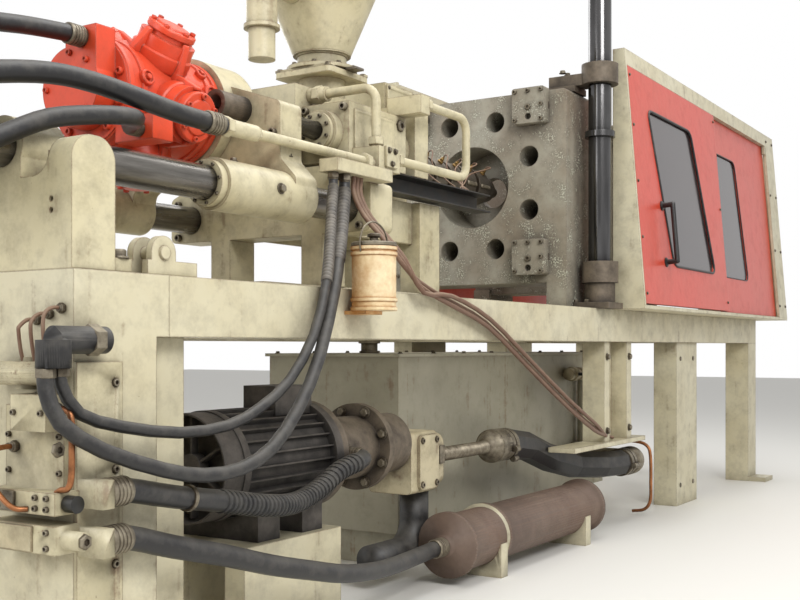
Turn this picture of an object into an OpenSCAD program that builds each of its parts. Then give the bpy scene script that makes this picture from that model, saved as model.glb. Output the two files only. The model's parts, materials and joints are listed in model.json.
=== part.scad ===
// Horizontal screw injection moulding machine, millimetres.
// +X runs along the machine axis from the injection end to the clamp end, +Z is up,
// and -Y is the operator's side. Lengths along X are measured from the rear end of the
// base and shifted at the end, so that the frame's origin lies on the floor in the middle
// of the floor anchors.

/* [Base frame] */
// Length of the base from its rear end to the end of the side beams
base_len = 6300; // [6240:10:6500]
// Width over the side beams
base_w = 1314; // [1280:2:1400]
// Height of the top of the base above the floor
base_h = 1144; // [1100:2:1200]
// Height of a side beam
beam_h = 167; // [140:1:200]
// Width of a side beam
beam_w = 190; // [170:2:240]
// Length of the rear pedestal at full width
pedestal_len = 283; // [260:1:300]
// Length of the pedestal under the beam seam
seam_x = 330; // [300:1:360]
// Thickness of the feet under the base
foot_t = 30; // [20:1:40]
// Radius of a floor anchor hole
anchor_r = 14; // [10:0.5:18]
// Distance of the anchor holes outside the base
anchor_out = 75; // [60:1:95]
// Length of a leg along the machine
leg_len = 200; // [160:2:240]
// Thickness of the pedestal's side cover plate
cover_t = 12; // [8:1:16]

/* [Injection unit] */
// Height of the machine axis above the top of the base
axis_rise = 638; // [620:1:660]
// Distance from the machine axis to each injection rod
rod_y = 227; // [220:1:236]
// Radius of an injection rod
rod_r = 35; // [30:0.5:40]
// Distance from the machine axis to each guide column
column_y = 390; // [384:1:396]
// Depth of the guide columns below the machine axis
column_drop = 312; // [300:1:320]
// Radius of a guide column
column_r = 55; // [50:0.5:60]
// Thickness of the yoke that carries the guide columns
yoke_t = 143; // [120:1:160]
// Height of the yoke's saddle above the base
saddle_h = 238; // [220:1:250]
// Rear face of the crosshead
crosshead_x = 1130; // [1120:1:1140]
// Thickness of the crosshead
crosshead_t = 120; // [100:1:130]
// Free travel of the crosshead along the screw stroke
screw_stroke = 220; // [200:1:240]
// Rear face of the column carrier
carrier_x = 1536; // [1530:1:1560]
// Thickness of the column carrier
carrier_t = 150; // [120:1:160]
// Retracting travel of the whole injection unit
carriage_stroke = 300; // [250:5:320]
// Radius of the barrel
barrel_r = 75; // [70:0.5:80]
// Radius of the screw
screw_r = 37; // [34:0.5:42]
// Width of a heater band
band_w = 110; // [90:1:120]
// Number of heater bands
band_count = 6; // [4:1:7]
// Radius of the radial piston motor over its cylinder heads
motor_reach = 278; // [270:1:290]
// Radius of the radial piston motor's casing
motor_r = 176; // [168:1:177]

/* [Hopper] */
// Position of the hopper's axis
hopper_x = 1913; // [1890:1:1930]
// Height of the hopper's throat flange above the machine axis
throat_rise = 313; // [305:1:330]
// Radius of the hopper's throat
throat_r = 100; // [90:1:105]
// Radius of the hopper's cylinder
hopper_r = 300; // [290:2:320]
// Height of the hopper's cone
cone_h = 430; // [400:5:460]
// Wall of the hopper
hopper_wall = 4; // [3:0.5:6]

/* [Platens] */
// Rear face of the stationary platen
platen_x = 3232; // [3210:1:3250]
// Thickness of the stationary platen
platen_t = 300; // [280:1:320]
// Width of the platens
platen_w = 1068; // [1050:2:1100]
// Height of the platens
platen_h = 966; // [950:2:980]
// Radius of the nozzle hole in the stationary platen
nozzle_hole_r = 210; // [195:1:220]
// Radius of the locating hole in the mould face
locating_r = 80; // [62.5:0.5:100]
// Radius of the circle of cored holes
core_pitch_r = 354; // [350:1:360]
// Radius of a cored hole
core_r = 52; // [45:0.5:55]
// Half distance between the tie bars across the machine
tie_y = 350; // [345:1:356]
// Half distance between the tie bars in height
tie_z = 380; // [372:1:386]
// Radius of a tie bar
tie_r = 55; // [50:0.5:60]
// Daylight between the platens as shown
daylight = 718; // [680:2:740]
// Thickness of the moving platen
moving_t = 280; // [250:1:300]
// Distance from the stationary platen's mould face to the cylinder platen
clamp_span = 2168; // [2140:2:2200]
// Thickness of the cylinder platen
cylinder_platen_t = 300; // [260:2:320]
// Radius of the clamp ram
ram_r = 150; // [130:1:170]
// Closing travel of the moving platen
close_stroke = 450; // [400:5:480]
// Further opening travel of the moving platen
open_stroke = 250; // [200:5:280]
// Spacing of the mould fixing holes across the machine
mould_hole_y = 560; // [540:2:580]
// Spacing of the mould fixing holes in height
mould_hole_z = 420; // [400:2:430]
// Radius of a mould fixing hole
mould_hole_r = 12; // [8:0.5:14]

/* [Guard] */
// Distance from the machine axis to the guard's foot
guard_y = 830; // [810:2:850]
// Height of the guard's sloping face
guard_h = 1320; // [1250:5:1350]
// Inward lean of the guard's face in degrees
guard_lean = 4.8; // [2:0.1:6]
// Thickness of a guard door
door_t = 22; // [18:1:28]
// Length of a sliding door
door_len = 1472; // [1440:2:1500]
// Opening travel of a sliding door
door_travel = 1230; // [1100:10:1230]
// Length of the fixed guard panel
panel_len = 1286; // [1240:2:1310]
// Length of the pale end strip of the guard
strip_len = 220; // [200:2:240]

/* [Power unit] */
// Radius of the electric motor's frame
emotor_r = 178; // [160:1:190]
// Length of the electric motor
emotor_len = 510; // [480:5:540]
// Rear face of the electric motor
emotor_x = 775; // [760:5:800]
// Distance from the machine axis to the motor and pump shaft
pump_y = 370; // [360:2:380]
// Height of the motor and pump shaft
pump_z = 570; // [560:2:590]
// Length of the oil tank
tank_len = 2280; // [2200:10:2320]
// Radius of the oil cooler
cooler_r = 118; // [105:1:125]

/* [Jib post] */
// Position of the jib post along the machine
post_x = 3403; // [3395:1:3410]
// Distance from the machine axis to the jib post
post_y = 640; // [630:1:650]
// Radius of the jib post
post_r = 58; // [50:0.5:62]
// Height of the jib post's top above the floor
post_top = 2850; // [2750:10:2950]
// Radius of the pin on top of the jib post
post_pin_r = 30; // [24:0.5:36]

/* [Hidden] */
$fn = 64;
cream = [0.80, 0.77, 0.66];
pale = [0.72, 0.72, 0.66];
red_paint = [0.78, 0.19, 0.12];
orange_red = [0.88, 0.27, 0.16];
steel = [0.62, 0.62, 0.60];
chrome = [0.42, 0.43, 0.46];
dark = [0.16, 0.16, 0.17];
rubber = [0.10, 0.10, 0.11];
iron = [0.48, 0.47, 0.43];
smoked = [0.16, 0.15, 0.16];
rust_yellow = [0.82, 0.62, 0.30];
brown = [0.40, 0.31, 0.26];

base_half = base_w / 2;
axis_z = base_h + axis_rise;
column_z = axis_z - column_drop;
beam_z = base_h - beam_h;
beam_in = base_half - beam_w;
gap = 0.3;
through = 1;

rear_anchor_x = pedestal_len / 2;
front_anchor_x = base_len - leg_len / 2;
origin_x = (rear_anchor_x + front_anchor_x) / 2;
anchor_y = base_half + anchor_out;

rail_h = 40;
rail_y = 230;
rail_half = 45;
rail_top = base_h + rail_h;
carrier_end = carrier_x + carrier_t;
support_x = carrier_end + 560;
support_t = 170;
housing_x = carrier_x + 44;
housing_end = support_x - 16;
housing_half = 115;
crosshead_end = crosshead_x + crosshead_t;
motor_end = crosshead_x - 50;
motor_len = 440;
mould_x = platen_x + platen_t;
moving_x = mould_x + daylight;
moving_end = moving_x + moving_t;
clamp_x = mould_x + clamp_span;
clamp_end = clamp_x + cylinder_platen_t;
platen_z = axis_z - 25;
platen_top = platen_z + platen_h / 2;
platen_foot = platen_z - platen_h / 2;
guard_x = mould_x;
guard_end = guard_x + door_len + panel_len + strip_len;
door_end = guard_x + door_len + 30;
throat_z = axis_z + throat_rise;
gate_t = 10;
gate_half = throat_r + 4;
hopper_z = throat_z + gate_t + 2 * gap;
cone_z = hopper_z + 67;
cone_top = cone_z + cone_h;
hopper_top = cone_top + 150;
pipe_y = 430;
pipe_r = 18;
bridge_x = -280;
bridge_t = 50;
rail_start = carrier_x - carriage_stroke - 40;
ejector_r = 18;
ejector_stroke = 120;
box_low = column_z + 90;
conduit_top = box_low - gap;
elbow_len = 38;
rod_nut_r = 48;
door_low = 8;
rail_low = guard_h - 85;
panel_in = door_t + 4;
panel_low = (panel_in + 22) * tan(guard_lean) + gap;
window_low = 228;
window_high = 1047;
collar_r = 92;
collar_low = base_h + 129;
collar_high = platen_top + 32;
tank_x = 2120;
tank_near = 250;
tank_far = 450;
tank_low = 150;
tank_top = beam_z - 70;
return_z = tank_top - 107;
cooler_x = [1960, 3300];
shaft_r = 30;
bed_top = pump_z - emotor_r - 62;
bell_r = 118;
pump_end = emotor_x + emotor_len + 576;
block_z = 486;
outlet_y = 440;
outlet_z = 500;
barrel_end = platen_x + 78;
lid_r = hopper_r + hopper_wall + 12;
hinge_y = lid_r + 14;
hinge_z = hopper_top + gap + 10;

// Points whose height is measured from the machine axis
function from_axis(p) = [for (q = p) [q[0], q[1], q[2] + axis_z]];

// Routes of the hoses: points chosen by hand, from one end to the other
upper_motor_hose_r = 28;
upper_motor_hose = from_axis([[-230, -130, 50], [-180, -130, 50], [-40, -124, 63], [100, -112, 86], [217, -100, 106],
    [340, -80, 128], [500, -60, 148], [560, -60, 148]]);
lower_motor_hose_r = 26;
lower_motor_hose = from_axis([[-230, -500, -362], [-190, -500, -362], [-60, -500, -297], [60, -500, -243],
    [200, -500, -210], [330, -484, -188], [440, -420, -170], [530, -310, -152], [600, -228, -146], [640, -228, -146]]);
cylinder_hose_r = 30;
cylinder_hose = from_axis([[-230, -430, -172], [-180, -430, -172], [-39, -430, -134], [119, -430, -105],
    [260, -430, -100], [420, -430, -110], [600, -430, -126], [740, -430, -130], [800, -430, -130]]);
upper_conduit_r = 16;
upper_conduit = [[-75, -700, 900], [-75, -700, 860], [-30, -712, 790], [90, -726, 752], [290, -735, 724],
    [480, -735, 732], [620, -734, 775], [760, -730, 850], [900, -715, 985], [1000, -690, 1150],
    [1110, -625, 1285], [1210, -560, 1420], [1275, -520, 1510], [1275, -520, conduit_top]];
lower_conduit_r = 20;
lower_conduit = [[-120, -700, 900], [-120, -700, 850], [-95, -722, 770], [10, -748, 700], [200, -765, 636],
    [350, -765, 608], [500, -765, 612], [640, -762, 660], [770, -755, 765], [900, -738, 920],
    [1040, -695, 1135], [1140, -640, 1250], [1250, -575, 1375], [1335, -525, 1500], [1335, -525, conduit_top]];
outlet_hose_r = 70;
outlet_hose = [[2680, -440, 500], [2760, -440, 500], [2960, -440, 474], [3200, -442, 400], [3450, -470, 345],
    [3640, -550, 330], [3780, -590, 330], [3880, -590, 330]];
upper_pedestal_hose_r = 31;
upper_pedestal_hose = [[40, -722, 592], [110, -722, 592], [280, -722, 556], [480, -714, 520], [700, -690, 480],
    [900, -640, 460], [1060, -606, 478], [1200, -600, 530], [1320, -600, 553], [1395, -560, 555], [1395, -515, 555]];
lower_pedestal_hose_r = 31;
lower_pedestal_hose = [[40, -722, 474], [110, -722, 474], [280, -724, 424], [480, -720, 370], [700, -710, 305],
    [900, -703, 255], [1119, -690, 205], [1400, -650, 170], [1700, -600, 160], [1860, -580, 160], [1930, -580, 160]];

// A box from its ranges along X, Y and Z
module block(x, y, z) {
    translate([x[0], y[0], z[0]]) cube([x[1] - x[0], y[1] - y[0], z[1] - z[0]]);
}

// Round bars along each axis
module bar_x(x, y, z, r) {
    translate([x[0], y, z]) rotate([0, 90, 0]) cylinder(h = x[1] - x[0], r = r);
}
module bar_y(x, y, z, r) {
    translate([x, y[0], z]) rotate([-90, 0, 0]) cylinder(h = y[1] - y[0], r = r);
}
module bar_z(x, y, z, r) {
    translate([x, y, z[0]]) cylinder(h = z[1] - z[0], r = r);
}

// What stands on the near side and, mirrored, on the far side
module both_sides() {
    children();
    mirror([0, 1, 0]) children();
}

// A profile drawn in Y and Z, pushed along X
module along_x(x, t) {
    translate([x, 0, 0]) rotate([90, 0, 90]) linear_extrude(t) children();
}

// A profile drawn in X and Z, pushed along Y
module along_y(y, t) {
    translate([0, y + t, 0]) rotate([90, 0, 0]) linear_extrude(t) children();
}

// A rectangle about its centre with true arcs at its corners
module round_rect(w, h, r) {
    square([w - 2 * r, h], center = true);
    square([w, h - 2 * r], center = true);
    for (x = [-1, 1], y = [-1, 1]) translate([x * (w / 2 - r), y * (h / 2 - r)]) circle(r);
}

function unit(v) = v / norm(v);
function corner_arc(a, p, b, r, n) =
    let (u = unit(a - p), w = unit(b - p), open = acos(u * w), c = p + unit(u + w) * r / sin(open / 2),
         s = p + u * r / tan(open / 2) - c, e = p + w * r / tan(open / 2) - c,
         from = atan2(s[1], s[0]), turn = atan2(e[1], e[0]) - from,
         swing = turn > 180 ? turn - 360 : turn < -180 ? turn + 360 : turn)
    [for (i = [0:n]) c + r * [cos(from + swing * i / n), sin(from + swing * i / n)]];
// An outline with each of its corners rounded
function rounded(p, r, n = 4) =
    let (m = len(p)) [for (i = [0:m - 1]) each corner_arc(p[(i + m - 1) % m], p[i], p[(i + 1) % m], r, n)];

// A tube swept along a route, its rings turned as little as possible from one to the next
function heading(p, i) = unit(p[min(i + 1, len(p) - 1)] - p[max(i - 1, 0)]);
function side_of(p, i) =
    i == 0 ? unit(cross(heading(p, 0), [0.3, 0.9, 0.2]))
           : let (t = heading(p, i), u = side_of(p, i - 1)) unit(u - t * (u * t));
module hose(p, r, sides = 8) {
    rings = [for (i = [0:len(p) - 1]) let (u = side_of(p, i), v = cross(heading(p, i), u))
        for (k = [0:sides - 1]) p[i] + r * (cos(360 * k / sides) * u + sin(360 * k / sides) * v)];
    walls = [for (i = [0:len(p) - 2], k = [0:sides - 1])
        let (a = i * sides + k, b = i * sides + (k + 1) % sides) each [[a, b, a + sides], [b, b + sides, a + sides]]];
    last = (len(p) - 1) * sides;
    polyhedron(points = rings, faces = concat(walls, [[for (k = [sides - 1:-1:0]) k]],
        [[for (k = [0:sides - 1]) last + k]]), convexity = 4);
}

// Quarter bend of a pipe, starting along +X and turning upwards
module bend_up(x, y, z, bend, r) {
    translate([x, y, z + bend]) rotate([90, 0, 0]) rotate([0, 0, -90])
        rotate_extrude(angle = 90) translate([bend, 0]) circle(r);
}

/* Base frame */

module foot_plate(x, out, anchor) {
    difference() {
        block(x, [-base_half - out, -base_half + 160], [0, foot_t]);
        if (anchor > 0) bar_z(anchor, -anchor_y, [-through, foot_t + through], anchor_r);
    }
}

module rear_pedestal() {
    color(cream) {
        block([0, pedestal_len], [-base_half, base_half], [foot_t, base_h]);
        block([pedestal_len, seam_x], [-base_half, base_half], [beam_z, base_h]);
        both_sides() foot_plate([30, pedestal_len - 10], anchor_out + 45, rear_anchor_x);
    }
}

module side_beams() {
    color(cream) both_sides() {
        block([seam_x, base_len], [-base_half, -beam_in], [beam_z, base_h]);
        // Rail under the injection unit
        block([rail_start, support_x + 254], [-rail_y - rail_half, -rail_y + rail_half], [base_h, rail_top]);
    }
}

module bed_frame() {
    lifting_lugs();
    color(cream) for (x = [rail_start, carrier_x + 264, support_x + 134, platen_x, moving_x + 600, clamp_x])
        block([x, x + 120], [-beam_in, beam_in], [beam_z, base_h]);
}

// Channel leg with its open side towards the edge of the base
module channel_leg(low) {
    x = [platen_x + 238, platen_x + 618];
    difference() {
        block(x, [-base_half + 20, -base_half + 140], [low, beam_z]);
        block([x[0] + 70, x[1] - 70], [-base_half, -base_half + 105], [low - through, beam_z + through]);
    }
}

module base_legs() {
    post_end = pedestal_len + 166;
    middle_x = platen_x + 1368;
    middle_len = 385;
    shelf_z = 440;
    pump_bed();
    color(cream) {
        both_sides() {
            block([pedestal_len, post_end], [-base_half + 60, -base_half + 170], [0, beam_z]);
            block([middle_x, middle_x + middle_len], [-base_half + 20, -base_half + 160], [0, beam_z]);
            block([base_len - leg_len, base_len], [-base_half, -base_half + 160], [foot_t, beam_z]);
            foot_plate([base_len - leg_len, base_len], anchor_out + 45, front_anchor_x);
        }
        channel_leg(shelf_z + 24);
        block([platen_x - 180, platen_x + 780], [-base_half, -base_half + 140], [shelf_z, shelf_z + 24]);
        mirror([0, 1, 0]) channel_leg(0);
    }
}

module pedestal_cover() {
    plate_w = 150;
    face = -base_half - cover_t;
    color(cream) {
        difference() {
            block([0, plate_w], [face, -base_half], [110, 913]);
            for (z = [160, 400, 640, 860]) bar_y(plate_w - 25, [face - through, face + 6], z, 12);
        }
        for (p = [upper_pedestal_hose[0], lower_pedestal_hose[0]])
            block([p[0] - elbow_len, p[0]], [p[1] - 35, face], [p[2] - 35, p[2] + 35]);
        block([20, 80], [-base_half - 35, -base_half], [940, 996]);
    }
    color(rubber) bar_x([-100, 60], -700, 967, 34);
    color(rubber) bar_z(-98, -700, [900, 967], 42);
}

module rear_yoke() {
    cheek_in = base_half - 91;
    cheek_w = 84;
    head_r = 62;
    cheek_top = base_h + 338;
    saddle_z = base_h + saddle_h;
    root = 60;
    color(cream) difference() {
        union() {
            block([0, yoke_t], [-cheek_in, cheek_in], [base_h, saddle_z]);
            both_sides() {
                along_y(-cheek_in - cheek_w, cheek_w) {
                    translate([0, base_h]) square([yoke_t, cheek_top - head_r - base_h]);
                    for (x = [head_r, yoke_t - head_r]) translate([x, cheek_top - head_r]) circle(head_r);
                    translate([head_r, base_h + 200]) square([yoke_t - 2 * head_r, cheek_top - base_h - 200]);
                }
                along_x(0, yoke_t) difference() {
                    translate([-cheek_in, saddle_z]) square([root, root]);
                    translate([-cheek_in + root, saddle_z + root]) circle(root);
                }
                block([0, yoke_t], [-column_y - 70, -column_y + 70], [saddle_z, column_z]);
                bar_x([0, yoke_t], -column_y, column_z, 78);
                block([yoke_t, yoke_t + 60], [-base_half + 10, -cheek_in + 40], [base_h, base_h + 36]);
            }
        }
        both_sides() bar_x([-through, yoke_t + through], -column_y, column_z, column_r + gap);
        for (z = [1320, 1292]) bar_x([-through, 25], -cheek_in - 10, z, 7);
    }
}

module lifting_lugs() {
    foot_x = 264;
    pin_x = foot_x + 60;
    pin_z = base_h + 61;
    color(cream) both_sides() for (y = [-base_half + 14, -base_half + 84]) difference() {
        along_y(y, 22) union() {
            translate([foot_x, base_h]) square([190, 40]);
            translate([pin_x - 46, base_h]) square([92, pin_z - base_h]);
            translate([pin_x, pin_z]) circle(46);
        }
        bar_y(pin_x, [y - through, y + 22 + through], pin_z, 19 + gap);
    }
    color(steel) both_sides() bar_y(pin_x, [-base_half + 6, -base_half + 114], pin_z, 19);
}

/* Platens and clamp */

module tie_places() {
    for (y = [-1, 1], z = [-1, 1]) translate([0, y * tie_y, axis_z + z * tie_z]) children();
}

module stationary_platen() {
    disc_t = 60;
    color(pale) difference() {
        union() {
            along_x(platen_x, platen_t) translate([0, platen_z]) round_rect(platen_w, platen_h, 22);
            both_sides() block([platen_x, mould_x], [-platen_w / 2, -platen_w / 2 + 110], [base_h, platen_foot + 30]);
        }
        bar_x([platen_x - through, mould_x - disc_t], 0, axis_z, nozzle_hole_r);
        bar_x([platen_x, mould_x + through], 0, axis_z, locating_r);
        for (a = [22.5:45:360]) bar_x([platen_x - through, mould_x - disc_t],
            core_pitch_r * cos(a), axis_z + core_pitch_r * sin(a), core_r);
        tie_places() bar_x([platen_x - through, mould_x + through], 0, 0, tie_r + gap);
        for (y = [-1, 1], z = [-1, 1]) bar_x([mould_x - 45, mould_x + through], y * mould_hole_y / 2,
            axis_z + z * mould_hole_z / 2, mould_hole_r);
    }
}

module tie_bars() {
    color(chrome) tie_places() bar_x([platen_x, clamp_end + 130], 0, 0, tie_r);
}

module tie_bar_nuts() {
    cap = 180;
    color(pale) tie_places() difference() {
        along_x(platen_x - 60, 60) round_rect(cap, cap, 14);
        bar_x([platen_x - 61, platen_x - 30], 0, -55, 16);
    }
    color(iron) tie_places() difference() {
        bar_x([clamp_end, clamp_end + 110], 0, 0, 92);
        bar_x([clamp_end - through, clamp_end + 110 + through], 0, 0, tie_r + gap);
    }
}

module cylinder_platen() {
    color(cream) difference() {
        union() {
            along_x(clamp_x, cylinder_platen_t) translate([0, platen_z]) round_rect(platen_w, platen_h, 22);
            both_sides() block([clamp_x, clamp_end], [-platen_w / 2, -platen_w / 2 + 110], [base_h, platen_foot + 30]);
        }
        bar_x([clamp_x - through, clamp_end + through], 0, axis_z, ram_r + gap);
        tie_places() bar_x([clamp_x - through, clamp_end + through], 0, 0, tie_r + gap);
    }
}

module clamp_cylinder() {
    wall = 85;
    depth = close_stroke + open_stroke - cylinder_platen_t + 150;
    color(cream) difference() {
        union() {
            bar_x([clamp_end, clamp_end + depth + 60], 0, axis_z, ram_r + gap + wall);
            bar_x([clamp_end, clamp_end + 70], 0, axis_z, ram_r + gap + wall + 60);
        }
        bar_x([clamp_end - through, clamp_end + depth], 0, axis_z, ram_r + gap + 20);
        for (a = [15:30:360]) if (abs(sin(a)) < 0.9) bar_x([clamp_end + 50, clamp_end + 71],
            (ram_r + wall + 32) * cos(a), axis_z + (ram_r + wall + 32) * sin(a), 16);
    }
}

module ejector_places() {
    for (a = [45:90:360]) translate([0, 262 * cos(a), axis_z + 262 * sin(a)]) children();
}

module moving_platen() {
    color(pale) difference() {
        union() {
            along_x(moving_x, moving_t) translate([0, platen_z]) round_rect(platen_w, platen_h, 22);
            both_sides() block([moving_x - 20, moving_end + 20], [-platen_w / 2, -platen_w / 2 + 110],
                [base_h + gap, platen_foot + 30]);
        }
        tie_places() bar_x([moving_x - through, moving_end + through], 0, 0, tie_r + gap);
        ejector_places() bar_x([moving_x - through, moving_end + through], 0, 0, ejector_r + gap);
        bar_x([moving_x - through, moving_x + 60], 0, axis_z, locating_r);
        for (y = [-1, 1], z = [-1, 1]) bar_x([moving_x - through, moving_x + 45], y * mould_hole_y / 2,
            axis_z + z * mould_hole_z / 2, mould_hole_r);
    }
}
module clamp_ram() {
    color(chrome) bar_x([moving_end + 60, clamp_x + close_stroke + 120], 0, axis_z, ram_r);
    color(iron) bar_x([moving_end, moving_end + 60], 0, axis_z, ram_r + 35);
}

module ejector_plate() {
    back = moving_end + ejector_stroke + 20;
    color(steel) {
        difference() {
            bar_x([back, back + 40], 0, axis_z, 330);
            bar_x([back - through, back + 41], 0, axis_z, ram_r + 38);
        }
        ejector_places() bar_x([moving_x + 2, back], 0, 0, ejector_r);
    }
}

/* Guard */

// The sloping face of the guard: X along the machine, Y into the machine, Z up the slope
module on_slope() {
    translate([0, -guard_y, base_h + 20]) rotate([-guard_lean, 0, 0]) children();
}

module window_shape(x_low, x_high, w_low, w_high, low, high, grow) {
    polygon(rounded([[x_low - grow, low - grow], [x_low + w_low + grow, low - grow],
        [x_high + w_high + grow, high + grow], [x_high - grow, high + grow]], 45));
}
module door_window(grow) {
    window_shape(guard_x + 504, guard_x + 271, 754, 718, window_low, window_high, grow);
}
module panel_window(grow) {
    x = guard_x + door_len;
    window_shape(x + 73, x - 130 + 35, 558, 610, window_low, window_high - 35, grow);
}

module guard_frame() {
    end_t = 20;
    top_z = base_h + 20 + guard_h * cos(guard_lean);
    top_y = guard_y - guard_h * sin(guard_lean);
    color(cream) both_sides() {
        for (x = [guard_x, guard_end - end_t]) along_x(x, end_t)
            polygon([[-guard_y, base_h + 20], [-base_half, base_h + 20], [-base_half, top_z], [-top_y, top_z]]);
        block([guard_x, guard_end], [-guard_y + gap, -base_half + 60], [base_h, base_h + 20]);
        on_slope() block([guard_end - strip_len, guard_end - end_t], [0, end_t], [0, guard_h]);
    }
    color(dark) both_sides() on_slope()
        block([guard_x + end_t, guard_end - strip_len], [0, panel_in + 22], [rail_low, guard_h]);
    color(dark) both_sides() on_slope()
        block([door_end + door_travel + gap, door_end + door_travel + 20], [2, door_t], [rail_low - 60, rail_low]);
}

module guard_fixed_panels() {
    color(red_paint) both_sides() on_slope() along_y(panel_in, 22) difference() {
        translate([guard_x + door_len, panel_low]) square([panel_len, rail_low - panel_low - gap]);
        panel_window(0);
    }
}

module guard_windows() {
    color(smoked) both_sides() on_slope() along_y(panel_in + 8, 6) panel_window(-gap);
}

module door_sheet() {
    color(red_paint) on_slope() along_y(0, door_t) difference() {
        translate([guard_x + 22, door_low]) square([door_end - guard_x - 22, rail_low - door_low - gap]);
        door_window(0);
    }
}
module door_pane() {
    color(smoked) on_slope() along_y(8, 6) door_window(-gap);
}
module door_grip() {
    x = guard_x + 378;
    low = 240;
    high = 545;
    out = 62;
    grip_r = 14;
    color(dark) on_slope() {
        bar_z(x, -out, [low, high], grip_r);
        for (z = [low, high]) {
            bar_y(x, [-out, 0], z, grip_r);
            translate([x, -out, z]) sphere(grip_r);
        }
    }
}
module door_near() { door_sheet(); }
module door_near_window() { door_pane(); }
module door_near_handle() { door_grip(); }
module door_far() {
    mirror([0, 1, 0]) {
        door_sheet();
        door_pane();
        door_grip();
    }
}

/* Jib post */

module post_collars() {
    color(iron) {
        difference() {
            union() {
                block([post_x - 95, post_x + 95], [-post_y - 85, -platen_w / 2], [base_h, base_h + 30]);
                bar_z(post_x, -post_y, [base_h + 30, collar_low], post_r + 18);
                bar_z(post_x, -post_y, [collar_low, collar_low + 106], collar_r);
            }
            bar_z(post_x, -post_y, [collar_low, collar_low + 107], post_r + gap);
        }
        difference() {
            union() {
                bar_z(post_x, -post_y, [collar_high, collar_high + 101], collar_r);
                block([post_x - 55, post_x + 55], [-post_y, -platen_w / 2 + 150], [collar_high, collar_high + 58]);
                block([post_x - 75, post_x + 75], [-platen_w / 2, -platen_w / 2 + 150], [platen_top, collar_high]);
            }
            bar_z(post_x, -post_y, [collar_high - through, collar_high + 102], post_r + gap);
        }
    }
}

module jib_post() {
    color(chrome) {
        bar_z(post_x, -post_y, [collar_low + gap, post_top - 40], post_r);
        bar_z(post_x, -post_y, [2005, 2035], post_r + 18);
        bar_z(post_x, -post_y, [post_top - 40, post_top], post_r + 30);
        bar_z(post_x, -post_y, [post_top, post_top + 120], post_pin_r);
    }
}

/* Power unit */

module oil_tank() {
    pipe_x = tank_x + 1876;
    color(pale) {
        block([tank_x, tank_x + tank_len], [-tank_near, tank_far], [tank_low, tank_top]);
        block([tank_x - 15, tank_x + tank_len + 15], [-tank_near - 15, tank_far + 15], [tank_top, tank_top + 14]);
        for (x = [tank_x + 60, tank_x + tank_len / 2 - 50, tank_x + tank_len - 160])
            block([x, x + 100], [-tank_near + 40, tank_far - 40], [0, tank_low]);
        bar_z(pipe_x, -tank_near - 40, [414, return_z], 26);
        bar_y(pipe_x, [-tank_near - 40, -tank_near], return_z, 26);
        translate([pipe_x, -tank_near - 40, return_z]) sphere(26);
        block([pipe_x - 60, pipe_x + 60], [-tank_near - 80, -tank_near], [394, 414]);
    }
}

module motor_frame() {
    fins = 26;
    core = emotor_r - 20;
    end = emotor_x + emotor_len;
    color(iron) difference() {
        union() {
            translate([0, -pump_y, pump_z]) along_x(emotor_x + 30, emotor_len - 70) union() {
                circle(core);
                for (i = [0:fins - 1]) rotate(i * 360 / fins) translate([0, -3]) square([emotor_r, 6]);
            }
            bar_x([emotor_x, emotor_x + 30], -pump_y, pump_z, emotor_r);
            bar_x([end - 40, end], -pump_y, pump_z, emotor_r + 12);
            bar_x([emotor_x - 90, emotor_x], -pump_y, pump_z, emotor_r - 4);
            for (x = [emotor_x + 80, end - 200])
                block([x, x + 110], [-pump_y - 160, -pump_y + 160], [bed_top, pump_z - emotor_r + 60]);
            block([emotor_x + 280, emotor_x + 480], [-pump_y - 70, -pump_y + 70],
                [pump_z + emotor_r - 30, pump_z + emotor_r + 70]);
        }
        bar_x([emotor_x - 91, emotor_x - 6], -pump_y, pump_z, emotor_r - 10);
        bar_x([emotor_x - 10, end + through], -pump_y, pump_z, shaft_r + gap);
    }
}
module motor_fan() {
    color(dark) {
        bar_x([emotor_x - 60, emotor_x + emotor_len + 30], -pump_y, pump_z, shaft_r);
        bar_x([emotor_x + emotor_len + 30, emotor_x + emotor_len + 90], -pump_y, pump_z, 70);
        bar_x([emotor_x - 60, emotor_x - 20], -pump_y, pump_z, 45);
        translate([emotor_x - 55, -pump_y, pump_z]) for (a = [0:60:300]) rotate([a, 0, 0])
            block([0, 30], [-4, 4], [40, emotor_r - 20]);
    }
}

module pump_bed() {
    x = [emotor_x - 20, emotor_x + emotor_len - 20];
    color(cream) {
        block(x, [-pump_y - 190, -pump_y + 190], [bed_top - 30, bed_top]);
        for (y = [-pump_y - 190, -pump_y + 110]) block(x, [y, y + 80], [0, bed_top - 30]);
    }
}

module pump_and_bell() {
    start = emotor_x + emotor_len;
    len = pump_end - start;
    port = upper_pedestal_hose[len(upper_pedestal_hose) - 1];
    color(iron) difference() {
        union() {
            translate([start, -pump_y, pump_z]) rotate([0, 90, 0]) rotate_extrude()
                polygon([[0, 0], [190, 0], [190, 30], [150, 42], [bell_r, 70], [bell_r, len - 245], [165, len - 245],
                    [165, len - 212], [140, len - 205], [140, len - 190], [bell_r, len - 182], [bell_r, len - 14],
                    [bell_r - 14, len], [0, len]]);
            bar_y(port[0], [port[1], -pump_y], port[2], 42);
        }
        bar_x([start - through, start + 110], -pump_y, pump_z, 100);
    }
}

module pump_block() {
    y = -pump_y - 5;
    color(cream) difference() {
        union() {
            along_x(pump_end, 200) translate([y, block_z]) round_rect(200, 246, 20);
            along_x(pump_end + 200, 60) translate([y, block_z]) round_rect(196, 220, 45);
            along_y(y - 112, 12) translate([pump_end + 125, block_z]) round_rect(150, 220, 24);
        }
        for (x = [-55, 55], z = [-88, 88]) bar_y(pump_end + 125 + x, [y - 113, y - 104], block_z + z, 13);
    }
}

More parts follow.
